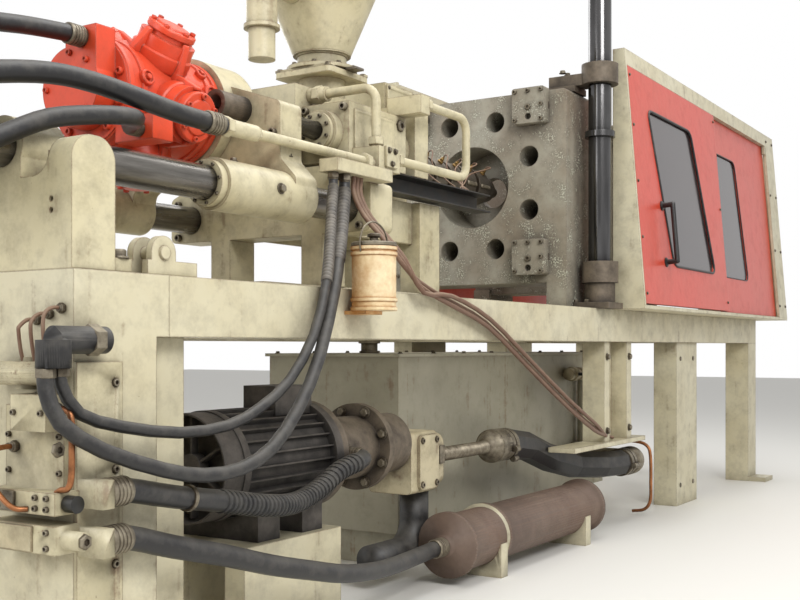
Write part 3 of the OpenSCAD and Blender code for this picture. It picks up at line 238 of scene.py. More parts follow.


# %% [markdown]
# ** Machine enamel.** The castings and the welded base wear an old brushed cream enamel:
# semi-gloss, yellowed, with oily dirt in patches, thin brown runs below joints, and chips
# along the edges that show primer and rust. The dirt colour is also laid as painted shade
# in corners and low places. Cream, grey and red parts share the same history in other
# colours, so one recipe makes them all. The dirt patches are 80 to 300 mm wide, the runs
# 15 mm, the chips 5 to 20 mm.

# %% Enamel recipe


def enamel(name, coat, faded, grime_and_shade, rust, dirt_and_shade=0.5, runs=0.5, chips=0.5, rough=0.42, specks=0.0):
    """Brushed enamel in two tones, with dirt and painted corner shade, runs, chips and specks each
    from 0 to 1.
    """
    made, tree, shader, where = blank(name)
    # Yellowing and handling marks, in patches of about 300 mm
    cloud = add(tree, "TexNoise", {"Vector": where, "Scale": 3.2, "Detail": 5, "Roughness": 0.6})
    tone = add(tree, "ValToRGB", {"Fac": cloud.outputs["Fac"]},
               stops=[(0.32, colour(coat)), (0.72, colour(faded))])
    # Oily dirt in patches of about 80 mm, with painted shade that darkens the corners
    patch = add(tree, "TexNoise", {"Vector": where, "Scale": 11, "Detail": 9, "Roughness": 0.68})
    corner = add(tree, "AmbientOcclusion", {"Distance": 0.09}, samples=6)
    # Painted shade: one minus the ambient occlusion darkens corners and recesses, added to the dirt
    # patches
    corner_shade = add(tree, "Math", {0: 1.0, 1: corner.outputs["AO"]}, operation="SUBTRACT")
    dirt_and_corner_shade = add(tree, "Math", {0: corner_shade.outputs[0], 1: 0.55, 2: patch.outputs["Fac"]},
                   operation="MULTIPLY_ADD")
    dirt_and_shade_mask = add(tree, "ValToRGB", {"Fac": dirt_and_corner_shade.outputs[0]},
                stops=[(0.50 - 0.10 * dirt_and_shade, 0.0), (0.98 - 0.18 * dirt_and_shade, 0.25 + 0.65 * dirt_and_shade)])
    first = add(tree, "Mix", {"Factor": dirt_and_shade_mask.outputs["Color"], 6: tone.outputs["Color"],
                              7: colour(grime_and_shade)}, data_type="RGBA")
    # Brown runs, 15 mm wide and drawn out downwards
    drawn = add(tree, "Mapping", {"Vector": where, "Scale": (34, 34, 1.6)})
    run = add(tree, "TexNoise",
              {"Vector": drawn.outputs[0], "Scale": 1, "Detail": 3, "Roughness": 0.5})
    begun = add(tree, "Math", {0: run.outputs["Fac"], 1: patch.outputs["Fac"]},
                operation="MULTIPLY")
    streak = add(tree, "ValToRGB", {"Fac": begun.outputs[0]},
                 stops=[(0.36 - 0.05 * runs, 0.0), (0.47 - 0.04 * runs, 0.75 * runs)])
    second = add(tree, "Mix", {"Factor": streak.outputs["Color"], 6: first.outputs[2],
                               7: colour(rust)}, data_type="RGBA")
    # Chips of 5 to 20 mm along the edges, found from the difference to a rounded normal
    rounded = add(tree, "Bevel", {"Radius": 0.007}, samples=4)
    flat = add(tree, "NewGeometry")
    same = add(tree, "VectorMath", {0: rounded.outputs[0], 1: flat.outputs["Normal"]},
               operation="DOT_PRODUCT")
    edge = add(tree, "Math", {0: 1.0, 1: same.outputs["Value"]}, operation="SUBTRACT")
    fleck = add(tree, "TexNoise", {"Vector": where, "Scale": 70, "Detail": 6, "Roughness": 0.7})
    broken = add(tree, "Math", {0: edge.outputs[0], 1: 1.3, 2: fleck.outputs["Fac"]},
                 operation="MULTIPLY_ADD")
    chip = add(tree, "ValToRGB", {"Fac": broken.outputs[0]},
               stops=[(0.72 - 0.06 * chips, 0.0), (0.75 - 0.05 * chips, 0.9 * chips)])
    third = add(tree, "Mix", {"Factor": chip.outputs["Color"], 6: second.outputs[2],
                              7: colour(rust)}, data_type="RGBA")
    if specks:  # pale flecks of 4 mm, plastic dust caught in the oil film
        grain = add(tree, "TexNoise",
                    {"Vector": where, "Scale": 130, "Detail": 3, "Roughness": 0.6})
        caught = add(tree, "Math", {0: grain.outputs["Fac"], 1: patch.outputs["Fac"]},
                     operation="MULTIPLY")
        seen = add(tree, "ValToRGB", {"Fac": caught.outputs[0]},
                   stops=[(0.31, 0.0), (0.36, specks)])
        third = add(tree, "Mix", {"Factor": seen.outputs["Color"], 6: third.outputs[2],
                                  7: colour("#d6d6c2")}, data_type="RGBA")
    tree.links.new(third.outputs[2], shader.inputs["Base Color"])
    # Dirt and the painted corner shade are duller than the coat
    dull = add(tree, "Math", {0: dirt_and_shade_mask.outputs["Color"], 1: 0.3, 2: rough},
               operation="MULTIPLY_ADD")
    tree.links.new(dull.outputs[0], shader.inputs["Roughness"])
    # Brush marks and an uneven filler coat
    skin = add(tree, "TexNoise", {"Vector": where, "Scale": 26, "Detail": 6, "Roughness": 0.6})
    height = add(tree, "Math", {0: chip.outputs["Color"], 1: -0.5, 2: skin.outputs["Fac"]},
                 operation="MULTIPLY_ADD")
    bump = add(tree, "Bump", {"Height": height.outputs[0], "Distance": 0.002, "Strength": 0.55,
                              "Normal": rounded.outputs[0]})
    tree.links.new(bump.outputs[0], shader.inputs["Normal"])
    shader.inputs["IOR"].default_value = 1.5
    return made


cream_enamel = enamel("cream_machine_enamel", "#d3ccb1", "#c9bf9f", "#6a604e", "#6c462b", dirt_and_shade=0.5,
                      runs=0.5, chips=0.75)
cream_casting = enamel("cream_enamel_on_castings", "#d2c9aa", "#c4b994", "#5d5343", "#6a4328",
                       dirt_and_shade=0.62, runs=0.6, chips=0.8)
grey_casting = enamel("grey_enamel_on_platens", "#aaa697", "#857866", "#433f38", "#5b4331",
                      dirt_and_shade=0.8, runs=0.7, chips=0.7, rough=0.38, specks=0.7)
tank_enamel = enamel("grey_green_tank_enamel", "#b0ab98", "#a5a08c", "#6b6553", "#7c5a3a",
                     dirt_and_shade=0.35, runs=0.8, chips=0.4)
red_enamel = enamel("red_guard_enamel", "#cf432d", "#c84a34", "#7c3226", "#d8a58c", dirt_and_shade=0.18,
                    runs=0.12, chips=0.35, rough=0.34)
motor_enamel = enamel("orange_red_motor_enamel", "#e64f2c", "#dc4a2c", "#7a3420", "#5c3a2c",
                      dirt_and_shade=0.3, runs=0.15, chips=0.6, rough=0.36)
pump_enamel = enamel("oily_cream_pump_enamel", "#cabf9f", "#b3a583", "#5a4d3b", "#5e3c25", dirt_and_shade=0.8,
                     runs=0.7, chips=0.9)
cooler_enamel = enamel("brown_cooler_enamel", "#6b564a", "#7c6a5c", "#463a32", "#8a6547", dirt_and_shade=0.5,
                       runs=0.3, chips=0.5, rough=0.6)
can_enamel = enamel("yellow_enamel_rusting", "#ead2a0", "#f2e4c2", "#b57a38", "#9a5c26", dirt_and_shade=1.0,
                    runs=0.5, chips=0.9, rough=0.5)
print("enamels:", [m.name for m in bpy.data.materials if "enamel" in m.name])

# %% [markdown]
# ** Bare metal.** The columns, rods and tie bars are hard-chromed steel under a film of dark
# oil. The barrel, bands and screw are turned steel browned by heat. The bell, the motor
# frame and the bridge are cast iron, grimy and matt. All of them are darker in their corners
# as painted shade. Metals keep their default IOR, and the turning marks are drawn at 2 mm,
# coarser than life, so that they show.

# %% Metal recipe


def bare_metal(name, light, dark, metallic, rough, marks=0.0, size=9.0, stretch=(1, 1, 1),
               grit=0.2):
    """Metal between two tones; marks mixes turning marks into the sand, grit is their depth."""
    made, tree, shader, where = blank(name)
    film = add(tree, "Mapping", {"Vector": where, "Scale": stretch})
    cloud = add(tree, "TexNoise",
                {"Vector": film.outputs[0], "Scale": size, "Detail": 8, "Roughness": 0.65})
    # Painted shade: the ambient occlusion darkens the colour in corners, multiplied into the random
    # tone
    corner = add(tree, "AmbientOcclusion", {"Distance": 0.05}, samples=6)
    shade = add(tree, "Math", {0: cloud.outputs["Fac"], 1: corner.outputs["AO"]},
                operation="MULTIPLY")
    tone = add(tree, "ValToRGB", {"Fac": shade.outputs[0]},
               stops=[(0.22, colour(dark)), (0.62, colour(light))])
    tree.links.new(tone.outputs["Color"], shader.inputs["Base Color"])
    gloss = add(tree, "Math", {0: cloud.outputs["Fac"], 1: -0.35, 2: rough + 0.18},
                operation="MULTIPLY_ADD")
    tree.links.new(gloss.outputs[0], shader.inputs["Roughness"])
    shader.inputs["Metallic"].default_value = metallic
    lathe = add(tree, "TexWave", {"Vector": where, "Scale": 80, "Distortion": 1.5, "Detail": 2},
                bands_direction="X")
    sand = add(tree, "TexNoise", {"Vector": where, "Scale": 160, "Detail": 4})
    mixed = add(tree, "Mix", {"Factor": marks, 2: sand.outputs["Fac"], 3: lathe.outputs["Fac"]},
                data_type="FLOAT")
    rounded = add(tree, "Bevel", {"Radius": 0.004}, samples=4)
    bump = add(tree, "Bump", {"Height": mixed.outputs[0], "Distance": 0.001, "Strength": grit,
                              "Normal": rounded.outputs[0]})
    tree.links.new(bump.outputs[0], shader.inputs["Normal"])
    return made


oily_chrome = bare_metal("hard_chrome_under_oil", "#8b8781", "#3a3733", 0.9, 0.28, marks=0.3,
                         size=5, stretch=(0.4, 4, 4), grit=0.05)
post_chrome = bare_metal("dark_chrome_polished", "#5d5c5c", "#2b2a2a", 0.95, 0.16, marks=0.1,
                         size=4, stretch=(4, 4, 0.5), grit=0.03)
turned_steel = bare_metal("turned_steel_browned", "#8d857a", "#4b4136", 0.8, 0.42, marks=0.8,
                          size=7, grit=0.15)
fitting_steel = bare_metal("zinc_plated_fittings_grimy", "#8f8674", "#41372b", 0.55, 0.48, size=30,
                           grit=0.4)
grimy_iron = bare_metal("cast_iron_grimy", "#75695a", "#352e27", 0.25, 0.62, size=12, grit=0.6)
dark_iron = bare_metal("motor_cast_iron_sooty", "#56504a", "#262320", 0.2, 0.66, size=14, grit=0.6)
copper = bare_metal("copper_tube_tarnished", "#b0764e", "#5e3b26", 0.85, 0.4, size=25, grit=0.15)
brass = bare_metal("brass_tarnished", "#a8874e", "#5b472a", 0.8, 0.42, size=25, grit=0.2)
print("materials with the metals:", len(bpy.data.materials))

# %% [markdown]
# **Rubber and plastic.** Hydraulic hose has a black chloroprene cover, soft grey with dust
# on top and faintly wrinkled. The smoked windows are 6 mm polycarbonate, dark brown and
# glossy, a little dusty and scratched. Knobs and grips are moulded phenolic.

# %% Rubber and plastic recipes


def moulded(name, base, dust, rough, dusting=0.5, wrinkle=0.2, size=18.0, glossy=0.5):
    """Rubber or plastic with dust on whatever faces up."""
    made, tree, shader, where = blank(name)
    cloud = add(tree, "TexNoise", {"Vector": where, "Scale": size, "Detail": 7, "Roughness": 0.65})
    face = add(tree, "NewGeometry")
    split = add(tree, "SeparateXYZ", {0: face.outputs["Normal"]})
    upper = add(tree, "Math", {0: split.outputs["Z"], 1: 0.28, 2: cloud.outputs["Fac"]},
                operation="MULTIPLY_ADD")
    lain = add(tree, "ValToRGB", {"Fac": upper.outputs[0]}, stops=[(0.42, 0.0), (0.86, dusting)])
    tone = add(tree, "Mix", {"Factor": lain.outputs["Color"], 6: colour(base), 7: colour(dust)},
               data_type="RGBA")
    tree.links.new(tone.outputs[2], shader.inputs["Base Color"])
    dull = add(tree, "Math", {0: lain.outputs["Color"], 1: 0.35, 2: rough},
               operation="MULTIPLY_ADD")
    tree.links.new(dull.outputs[0], shader.inputs["Roughness"])
    fine = add(tree, "TexNoise", {"Vector": where, "Scale": 90, "Detail": 4})
    bump = add(tree, "Bump",
               {"Height": fine.outputs["Fac"], "Distance": 0.0015, "Strength": wrinkle})
    tree.links.new(bump.outputs[0], shader.inputs["Normal"])
    shader.inputs["Specular IOR Level"].default_value = glossy
    return made


hose_rubber = moulded("hydraulic_hose_rubber", "#1b1a1b", "#6a665f", 0.42, dusting=0.55)
tape_wrap = moulded("bandage_tape_oily", "#37332f", "#8a8378", 0.45, dusting=0.7, wrinkle=0.6)
black_paint = moulded("black_air_drying_paint", "#211f1e", "#5f574c", 0.45, dusting=0.6)
phenolic = moulded("black_phenolic", "#151515", "#4a4743", 0.3, dusting=0.4)
smoked = moulded("smoked_polycarbonate", "#3a3030", "#5d5250", 0.12, dusting=0.35, wrinkle=0.02,
                 size=3.0, glossy=0.7)
blue_sleeve = moulded("pale_blue_hose_sleeve", "#9db7bf", "#b9b4a4", 0.5, dusting=0.5)
cable_brown = moulded("brown_cable_sheath", "#6e5140", "#a08a72", 0.5, dusting=0.6)
print("materials with the rubbers:", len(bpy.data.materials))

# %% [markdown]
# **Finishes on the solids.** The solids that already have the right shape stay, and only
# change their finish. Each node is named with the finish that it wears on the real machine.

# %% Finishes of the solids
finish_of = {
    cream_enamel: ["rear_pedestal", "side_beams", "bed_frame", "base_legs", "guard_frame",
                   "cylinder_platen", "clamp_cylinder"],
    cream_casting: ["rear_yoke", "crosshead", "column_carrier", "injection_cylinders",
                    "feed_housing", "barrel_support", "injection_pipes", "hopper", "hopper_cone",
                    "hopper_throat", "hopper_spout", "hopper_lid"],
    grey_casting: ["stationary_platen", "moving_platen", "tie_bar_nuts"],
    tank_enamel: ["oil_tank"],
    red_enamel: ["guard_fixed_panels", "door_near"],
    motor_enamel: ["radial_motor"],
    pump_enamel: ["pump_block"],
    can_enamel: ["grease_can"],
    oily_chrome: ["tie_bars", "guide_columns", "clamp_ram"],
    post_chrome: ["jib_post"],
    turned_steel: ["screw", "barrel", "heater_bands", "ejector_plate", "hopper_gate"],
    grimy_iron: ["pump_and_bell", "post_collars"],
    dark_iron: ["motor_frame", "rear_bridge", "motor_fan"],
    black_paint: ["wiring_tray"],
    phenolic: ["door_near_handle", "valve_knob"],
    smoked: ["guard_windows", "door_near_window"],
    hose_rubber: ["outlet_hose"],
}
for finish, names in finish_of.items():
    for name in names:
        for place in frame["nodes"][name].material_slots:
            place.material = finish
for hose in cords.values():
    hose.data.materials.append(hose_rubber)
print("finished nodes:", sum(len(names) for names in finish_of.values()))

# %% [markdown]
# **Solids of several finishes.** A few solids are painted or plated in more than one way,
# such as the bright rods with their dirty nuts, or the far door with its window and grip.
# For these a copy of the solid is made, its doubled points are merged, and faces are given
# the further finishes by their place. The copy stands for the solid.

# %% Copies that wear several finishes
DOUBLES = 0.00001


def fresh():
    """Object mode, with nothing selected."""
    if bpy.context.mode != "OBJECT":
        bpy.ops.object.mode_set(mode="OBJECT")
    bpy.ops.object.select_all(action="DESELECT")


def choose(piece):
    """Only this piece is selected and active."""
    fresh()
    piece.select_set(True)
    bpy.context.view_layer.objects.active = piece


def pick(piece, test):
    """In edit mode, selects the faces whose middle and normal pass the test."""
    bpy.ops.object.mode_set(mode="EDIT")
    bpy.ops.mesh.select_mode(type="FACE")
    bpy.ops.mesh.select_all(action="DESELECT")
    grid = bmesh.from_edit_mesh(piece.data)
    for face in grid.faces:
        if test(face.calc_center_median(), face.normal):
            face.select_set(True)
    bmesh.update_edit_mesh(piece.data)


def several_finishes(node, first, others, body):
    """A copy of a node in several finishes, each further one where its test on a face is true."""
    source = frame["nodes"][node]
    piece = bpy.data.objects.new(node + "_finished", source.data.copy())
    bpy.context.scene.collection.objects.link(piece)
    piece.data.materials.clear()
    for finish in [first] + [other for other, test in others]:
        piece.data.materials.append(finish)
    choose(piece)
    bpy.ops.object.mode_set(mode="EDIT")
    bpy.ops.mesh.select_all(action="SELECT")
    bpy.ops.mesh.remove_doubles(threshold=DOUBLES)
    bpy.ops.object.mode_set(mode="OBJECT")
    for number, (other, test) in enumerate(others):
        pick(piece, lambda middle, normal: test(middle * 1000 + Vector((ORIGIN, 0, 0)), normal))
        piece.active_material_index = number + 1
        bpy.ops.object.material_slot_assign()
        bpy.ops.object.mode_set(mode="OBJECT")
    bpy.ops.object.shade_smooth_by_angle(angle=math.radians(32))
    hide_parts(node)
    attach(piece, body)
    return piece


LEAN = math.radians(4.8)
GUARD_FOOT_Y, GUARD_FOOT_Z = 830, 1164
STRAP_PLACES, STRAP_HALF = (2230, 3110), 31


def into_guard(p):
    """How far a point of the far side lies inside the guard's sloping face."""
    return (GUARD_FOOT_Y - p.y) * math.cos(LEAN) - (p.z - GUARD_FOOT_Z) * math.sin(LEAN)


def on_pane(p, n):
    """Whether a face lies on the far door's window: its depth, its way and its reach along X."""
    return 6 < into_guard(p) < 16 and abs(n.y) > 0.9 and 3700 < p.x < 4850


def on_strap(p, n):
    """Whether a face lies on one of the cooler's two straps."""
    return any(abs(p.x - x) < STRAP_HALF for x in STRAP_PLACES)


several_finishes("injection_rods", oily_chrome,
                 [(grimy_iron, lambda p, n: p.x < 1131)], "crosshead")
several_finishes("pump_pipes", fitting_steel,
                 [(hose_rubber, lambda p, n: p.z < 365 and p.x < 2300)], "base")
several_finishes("oil_cooler", cooler_enamel, [(cream_enamel, on_strap)], "base")
several_finishes("pedestal_fittings", cream_casting,
                 [(hose_rubber, lambda p, n: p.z > 899 and p.y < -640 and p.x < 62)],
                 "base")
several_finishes("door_far", red_enamel,
                 [(smoked, on_pane), (phenolic, lambda p, n: into_guard(p) < -0.6)],
                 "far_door")

# %% [markdown]
# **Small turned parts.** Screws, plugs, ferrules and fittings are all turned or pressed
# round a centre line. Each starts as a filled circle that is extruded and scaled from step
# to step, as on a lathe, is modelled once, and is then copied to its places.

# %% Turning a profile, and setting out copies


def turned(name, steps, sides=24, finish=None, centre=(0, 0), hollow=False):
    """A piece round the Z axis from steps of (radius, height) in millimetres.

    It is solid, or a hollow ring whose outline closes on its first step.
    """
    fresh()
    radius, height = steps[0]
    x, y = (mm(v) for v in centre)
    bpy.ops.mesh.primitive_circle_add(vertices=sides, radius=mm(radius),
                                      fill_type="NOTHING" if hollow else "NGON",
                                      location=(x, y, mm(height)))
    piece = bpy.context.active_object
    piece.name = piece.data.name = name
    bpy.ops.object.transform_apply(location=True)
    bpy.ops.object.mode_set(mode="EDIT")
    if hollow:
        bpy.ops.mesh.select_mode(type="VERT")
    bpy.ops.mesh.select_all(action="SELECT")
    for new_radius, new_height in steps[1:] + (steps[:1] if hollow else []):
        rise = (0, 0, mm(new_height - height))
        bpy.ops.mesh.extrude_region_move(TRANSFORM_OT_translate={"value": rise})
        grow = new_radius / radius
        bpy.ops.transform.resize(value=(grow, grow, 1), center_override=(x, y, mm(new_height)))
        radius, height = new_radius, new_height
    bpy.ops.mesh.select_all(action="SELECT")
    if hollow:
        bpy.ops.mesh.remove_doubles(threshold=DOUBLES)
    bpy.ops.mesh.normals_make_consistent(inside=False)
    bpy.ops.object.mode_set(mode="OBJECT")
    bpy.ops.object.shade_smooth_by_angle(angle=math.radians(35))
    if finish:
        piece.data.materials.append(finish)
    return piece


def joined(name, pieces):
    """Several pieces joined into one."""
    fresh()
    for piece in pieces:
        piece.select_set(True)
    bpy.context.view_layer.objects.active = pieces[0]
    if len(pieces) > 1:
        bpy.ops.object.join()
    pieces[0].name = pieces[0].data.name = name
    return pieces[0]


def stand(point, direction=(0, 0, 1), size=1.0, turn=0.0):
    """A place: a point in millimetres, the way a model's Z axis faces, its size and its turn."""
    facing = Vector(direction).to_track_quat("Z", "Y").to_matrix().to_4x4()
    spin = Matrix.Rotation(math.radians(turn), 4, "Z")
    return Matrix.Translation(at(*point)) @ facing @ spin @ Matrix.Scale(size, 4)


def set_out(model, name, places, body, finish=None):
    """Copies a model to each place, every copy with its own mesh, and joins them into one piece."""
    copies = []
    for place in places:
        twin = bpy.data.objects.new(name, model.data.copy())
        twin.data.transform(place)
        bpy.context.scene.collection.objects.link(twin)
        copies.append(twin)
    return put(joined(name, copies), body, finish)


def put(piece, body, finish=None):
    """Gives a finished piece its body, and another finish than its model's."""
    if finish:
        piece.data.materials.clear()
        piece.data.materials.append(finish)
    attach(piece, body)
    return piece


# %% [markdown]
# The models: a socket head screw with its sunk socket, a hexagon bolt on its washer, a
# ribbed ferrule that is crimped on a hose end, a hexagon fitting, and a worm clamp band.

# %% Screw, bolt, ferrule and fitting models
socket_screw = turned("socket_screw_model", [(12, 0), (12, 13), (10.8, 15), (6.5, 15), (6.2, 7)],
                      18, fitting_steel)
washer = turned("washer_part", [(17, 0), (17, 3), (9, 3)], 20, fitting_steel)
head = turned("hexagon_part", [(13, 3), (13, 12), (11.2, 14), (6, 14.2)], 6, fitting_steel)
hex_bolt = joined("hexagon_bolt_model", [washer, head])
crimp = [(33, 0), (36, 3)]
for groove in range(5):
    z = 12 * groove
    crimp += [(37, 6 + z), (37, 13 + z), (34.5, 14.5 + z), (34.5, 16.5 + z)]
ferrule = turned("crimped_ferrule_model", crimp + [(34, 68), (31, 70), (22, 71)], 28, fitting_steel)
nut = turned("union_nut_part", [(30, 0), (34, 2), (34, 30), (30, 33), (22, 33)], 6, fitting_steel)
neck = turned("union_neck_part", [(24, 32), (24, 40), (20, 41)], 24, fitting_steel)
union = joined("union_model", [nut, neck])
band_ring = turned("clamp_band_part", [(33, 0), (35, 0.4), (35, 13.6), (33, 14)], 36, fitting_steel)
lug = turned("clamp_lug_part", [(7, -2), (7, 16), (5, 17.5), (2, 17.5)], 12, fitting_steel,
             centre=(0, 39))
hose_band = joined("worm_clamp_model", [band_ring, lug])

# %% [markdown]
# **Screws on the castings.** Every cover on this machine is held by rows of screws. The
# places follow from the solids: the corners of a plate, or a circle round a shaft. The
# end plates of the tie bars show the rule: six screws along the edges and a plug between.

# %% Rows and circles of places


def ring(x, y, z, radius, count, facing, start=0.0, size=1.0):
    """Places round a centre line that runs along the way they face."""
    turn = Vector(facing).to_track_quat("Z", "Y").to_matrix()
    places = []
    for k in range(count):
        a = math.radians(start + 360 * k / count)
        off = turn @ Vector((radius * math.cos(a), radius * math.sin(a), 0))
        places.append(stand((x + off.x, y + off.y, z + off.z), facing, size, 17 * k))
    return places


def spread(points, facing, size=1.0):
    """Places that all face one way, each turned a little further than the last."""
    return [stand(p, facing, size, 23 * k) for k, p in enumerate(points)]


left, right, near, up, down = (-1, 0, 0), (1, 0, 0), (0, -1, 0), (0, 0, 1), (0, 0, -1)
axis_z, column_z, column_y, cylinder_y, hopper_x = 1782, 1470, 390, 227, 1913
pump_y, pump_z, motor_rear, motor_middle = -370, 570, 640, 860
plate_face, tie_y, tie_rise, inset = 3172, 350, 380, 72
ties = [(y, z) for y in (-tie_y, tie_y) for z in (axis_z - tie_rise, axis_z + tie_rise)]
cap_places = []
for y, z in ties:
    cap_places += [(plate_face, y + a * inset, z + b * inset)
                   for a, b in [(-1, -1), (1, -1), (-1, 1), (1, 1), (0, 1), (-1, 0)]]
set_out(socket_screw, "end_plate_screws", spread(cap_places, left, 0.85), "base")
plug = turned("plug_model", [(17, 0), (17, 6), (14, 9), (8, 9), (7.6, 4)], 6, fitting_steel)
set_out(plug, "end_plate_plugs", spread([(plate_face, y, z - 8) for y, z in ties], left), "base")
disc = turned("end_disc_model", [(88, -22), (92, -19), (92, -4), (88, 0)], 48, grimy_iron)
set_out(disc, "end_plate_discs", spread([(plate_face + 40, y, z) for y, z in ties], left), "base")

# %% [markdown]
# The injection unit is bolted up from castings, so its glands, cylinders, hopper flange and
# support each have a pattern of their own. Single screws placed by hand would stand
# unevenly, so every pattern is a list of places, and one model is copied to all of them.

# %% Screws on the injection unit
gland = []
for y in (-cylinder_y, cylinder_y):
    gland += ring(1561, y, axis_z, 60, 8, left, 22, 0.62)
set_out(socket_screw, "gland_screws", gland, "carriage")
corner = [(1627, s * (cylinder_y + a), axis_z + b) for s in (-1, 1)
          for a, b in [(92, 94), (92, -94), (-92, 94)]]
corner += [(2219, s * (cylinder_y + a), axis_z + b) for s in (-1, 1)
           for a, b in [(92, 170), (92, -94)]]
set_out(socket_screw, "cylinder_screws", spread(corner[:6], left, 1.3)
        + spread(corner[6:], right, 1.3), "carriage")
tops = [(1995, -310, 1899), (2025, -262, 1899), (1995, -262, 1899)]
tops += [(x, s * 300, 1974) for x in (2135, 2190) for s in (-1, 1)]
set_out(hex_bolt, "cylinder_top_bolts", spread(tops, up, 0.9), "carriage")
set_out(hex_bolt, "hopper_flange_bolts",
        ring(hopper_x, 0, 2121.6, 133, 8, up, 22.5, 0.8)
        + spread([(hopper_x + a, b, 2095) for a in (-125, 125) for b in (-125, 125)], up, 1.1),
        "carriage")
set_out(hex_bolt, "support_bolts",
        spread([(2246, a, z) for a in (-86, 86) for z in (1560, 1680)], left, 1.2),
        "carriage")
bracket = [(1536, s * 455, z) for s in (-1, 1) for z in (1402, 1538)]
bracket += [(1536, s * 330, 1590) for s in (-1, 1)]
set_out(socket_screw, "carrier_screws", spread(bracket, left, 1.2), "carriage")

# %% [markdown]
# The crosshead carries a bearing cover with twelve screws, and its sleeves have oil plugs.
# The yoke and the jib post are held down by larger bolts. They are the same two models as
# before, scaled to the real bolt, so that all the screws of the machine share one look.

# %% Screws on the crosshead, the yoke and the post
set_out(socket_screw, "crosshead_screws", ring(1250, 0, axis_z, 172, 12, right, 15)
        + ring(760, -column_y, column_z, 66, 8, left, 10, 0.45)
        + ring(760, column_y, column_z, 66, 8, left, 10, 0.45)
        + spread([(1130, s * 372, 1690) for s in (-1, 1)]
                 + [(1130, s * 330, 1560) for s in (-1, 1)], left, 1.2), "crosshead")
set_out(hex_bolt, "sleeve_plugs",
        spread([(1040, -475, column_z + 8)], near, 1.1)
        + spread([(900, -column_y, column_z + 85), (1190, -column_y, column_z + 142)], up, 0.9),
        "crosshead")
set_out(hex_bolt, "yoke_bolts",
        spread([(173, s * y, 1180) for s in (-1, 1) for y in (628, 588)], up, 1.7), "base")
set_out(hex_bolt, "post_bolts", spread([(3403 + a, -590, 2305) for a in (-55, 55)]
                                       + [(3403 + a, -450, 2348) for a in (-30, 30)], up, 1.1)
        + spread([(3330, -600, 1174), (3476, -600, 1174), (3330, -540, 1174), (3476, -540, 1174)],
                 up, 1.1), "base")

# %% [markdown]
# **The radial piston motor.** Five cylinder heads stand round a short drum. On the real
# casting each head is braced by ribs and closed by a domed cover with six screws. One head
# is dressed as a model: a cover with a raised boss, and four tapering ribs cut from a box
# whose top is narrowed; the five copies then only need the turn of their head.

# %% One dressed motor head, copied five times


def rib(name, low, high, narrow, finish):
    """A box between two corners in millimetres, narrowed at the top, with eased edges."""
    fresh()
    middle = [(a + b) / 2 for a, b in zip(low, high)]
    bpy.ops.mesh.primitive_cube_add(size=1, location=[mm(v) for v in middle],
                                    scale=[mm(b - a) for a, b in zip(low, high)])
    piece = bpy.context.active_object
    piece.name = piece.data.name = name
    bpy.ops.object.transform_apply(location=True, scale=True)
    pick(piece, lambda at_, way: way.z > 0.9)
    bpy.ops.transform.resize(value=(narrow[0], narrow[1], 1),
                             center_override=(mm(narrow[2]), mm(narrow[3]), mm(high[2])))
    bpy.ops.mesh.select_all(action="SELECT")
    bpy.ops.mesh.bevel(offset=0.004, segments=2)
    bpy.ops.object.mode_set(mode="OBJECT")
    bpy.ops.object.shade_smooth_by_angle(angle=math.radians(40))
    piece.data.materials.append(finish)
    return piece


cover = turned("head_cover", [(80, 262), (84, 266), (84, 282), (80, 286), (60, 286), (56, 292),
                              (40, 294), (20, 294)], 40, motor_enamel)
foot_ring = turned("head_collar", [(100, 150), (104, 160), (104, 200), (98, 206)], 40, motor_enamel)
side_ribs = [
    rib("rib_part", (84, -14, 150), (150, 14, 262), (0.25, 0.8, 84, 0), motor_enamel),
    rib("rib_part", (-150, -14, 150), (-84, 14, 262), (0.25, 0.8, -84, 0), motor_enamel),
    rib("rib_part", (-16, 84, 120), (16, 132, 262), (0.8, 0.25, 0, 84), motor_enamel),
    rib("rib_part", (-16, -132, 120), (16, -84, 262), (0.8, 0.25, 0, -84), motor_enamel),
]
head_model = joined("motor_head_model", [cover, foot_ring] + side_ribs)
middle = Matrix.Translation(at(motor_middle, 0, axis_z))
turns = [middle @ Matrix.Rotation(math.radians(34 + 72 * k), 4, "X") for k in range(5)]
heads = set_out(head_model, "motor_head_covers", turns, "crosshead")
screw_rounds = []
for turn in turns:
    for k in range(6):
        a = math.radians(60 * k + 30)
        place = Matrix.Translation((mm(70) * math.cos(a), mm(70) * math.sin(a), mm(286)))
        screw_rounds.append(turn @ place @ Matrix.Scale(0.75, 4))
painted_screw = turned("painted_screw_model", [(13, 0), (13, 12), (11.5, 14), (7, 14), (6.5, 7)],
                       16, motor_enamel)
set_out(painted_screw, "motor_head_screws", screw_rounds, "crosshead")
drum_screws = ring(motor_rear, 0, axis_z, 152, 10, left, 18)
drum_screws += ring(motor_rear - 80, 0, axis_z, 108, 8, left, 0, 0.8)
set_out(painted_screw, "motor_drum_screws", drum_screws, "crosshead")
drum_bands = [turned("drum_band", [(176, a), (182, a + 3), (182, a + 24), (176, a + 27)], 64,
                     motor_enamel) for a in (4, 60, 372, 410)]
set_out(joined("drum_bands_model", drum_bands), "motor_drum_bands",
        [stand((motor_rear, 0, axis_z), right)], "crosshead")
boss = turned("drum_plug_model", [(34, -30), (34, 14), (30, 18), (22, 18), (22, 10), (12, 10),
                                  (12, 24), (10, 26)], 24, motor_enamel)
drum_plugs = []
for x, angle, size in [(1020, 78, 1.0), (1040, 112, 0.7), (720, 78, 0.8), (1010, 52, 0.6)]:
    turn = Matrix.Translation(at(x, 0, axis_z)) @ Matrix.Rotation(math.radians(angle), 4, "X")
    drum_plugs.append(turn @ Matrix.Translation((0, 0, mm(180))) @ Matrix.Scale(size, 4))
set_out(boss, "motor_drum_plugs", drum_plugs, "crosshead")
print("motor head dressed:", len(heads.data.polygons), "faces")

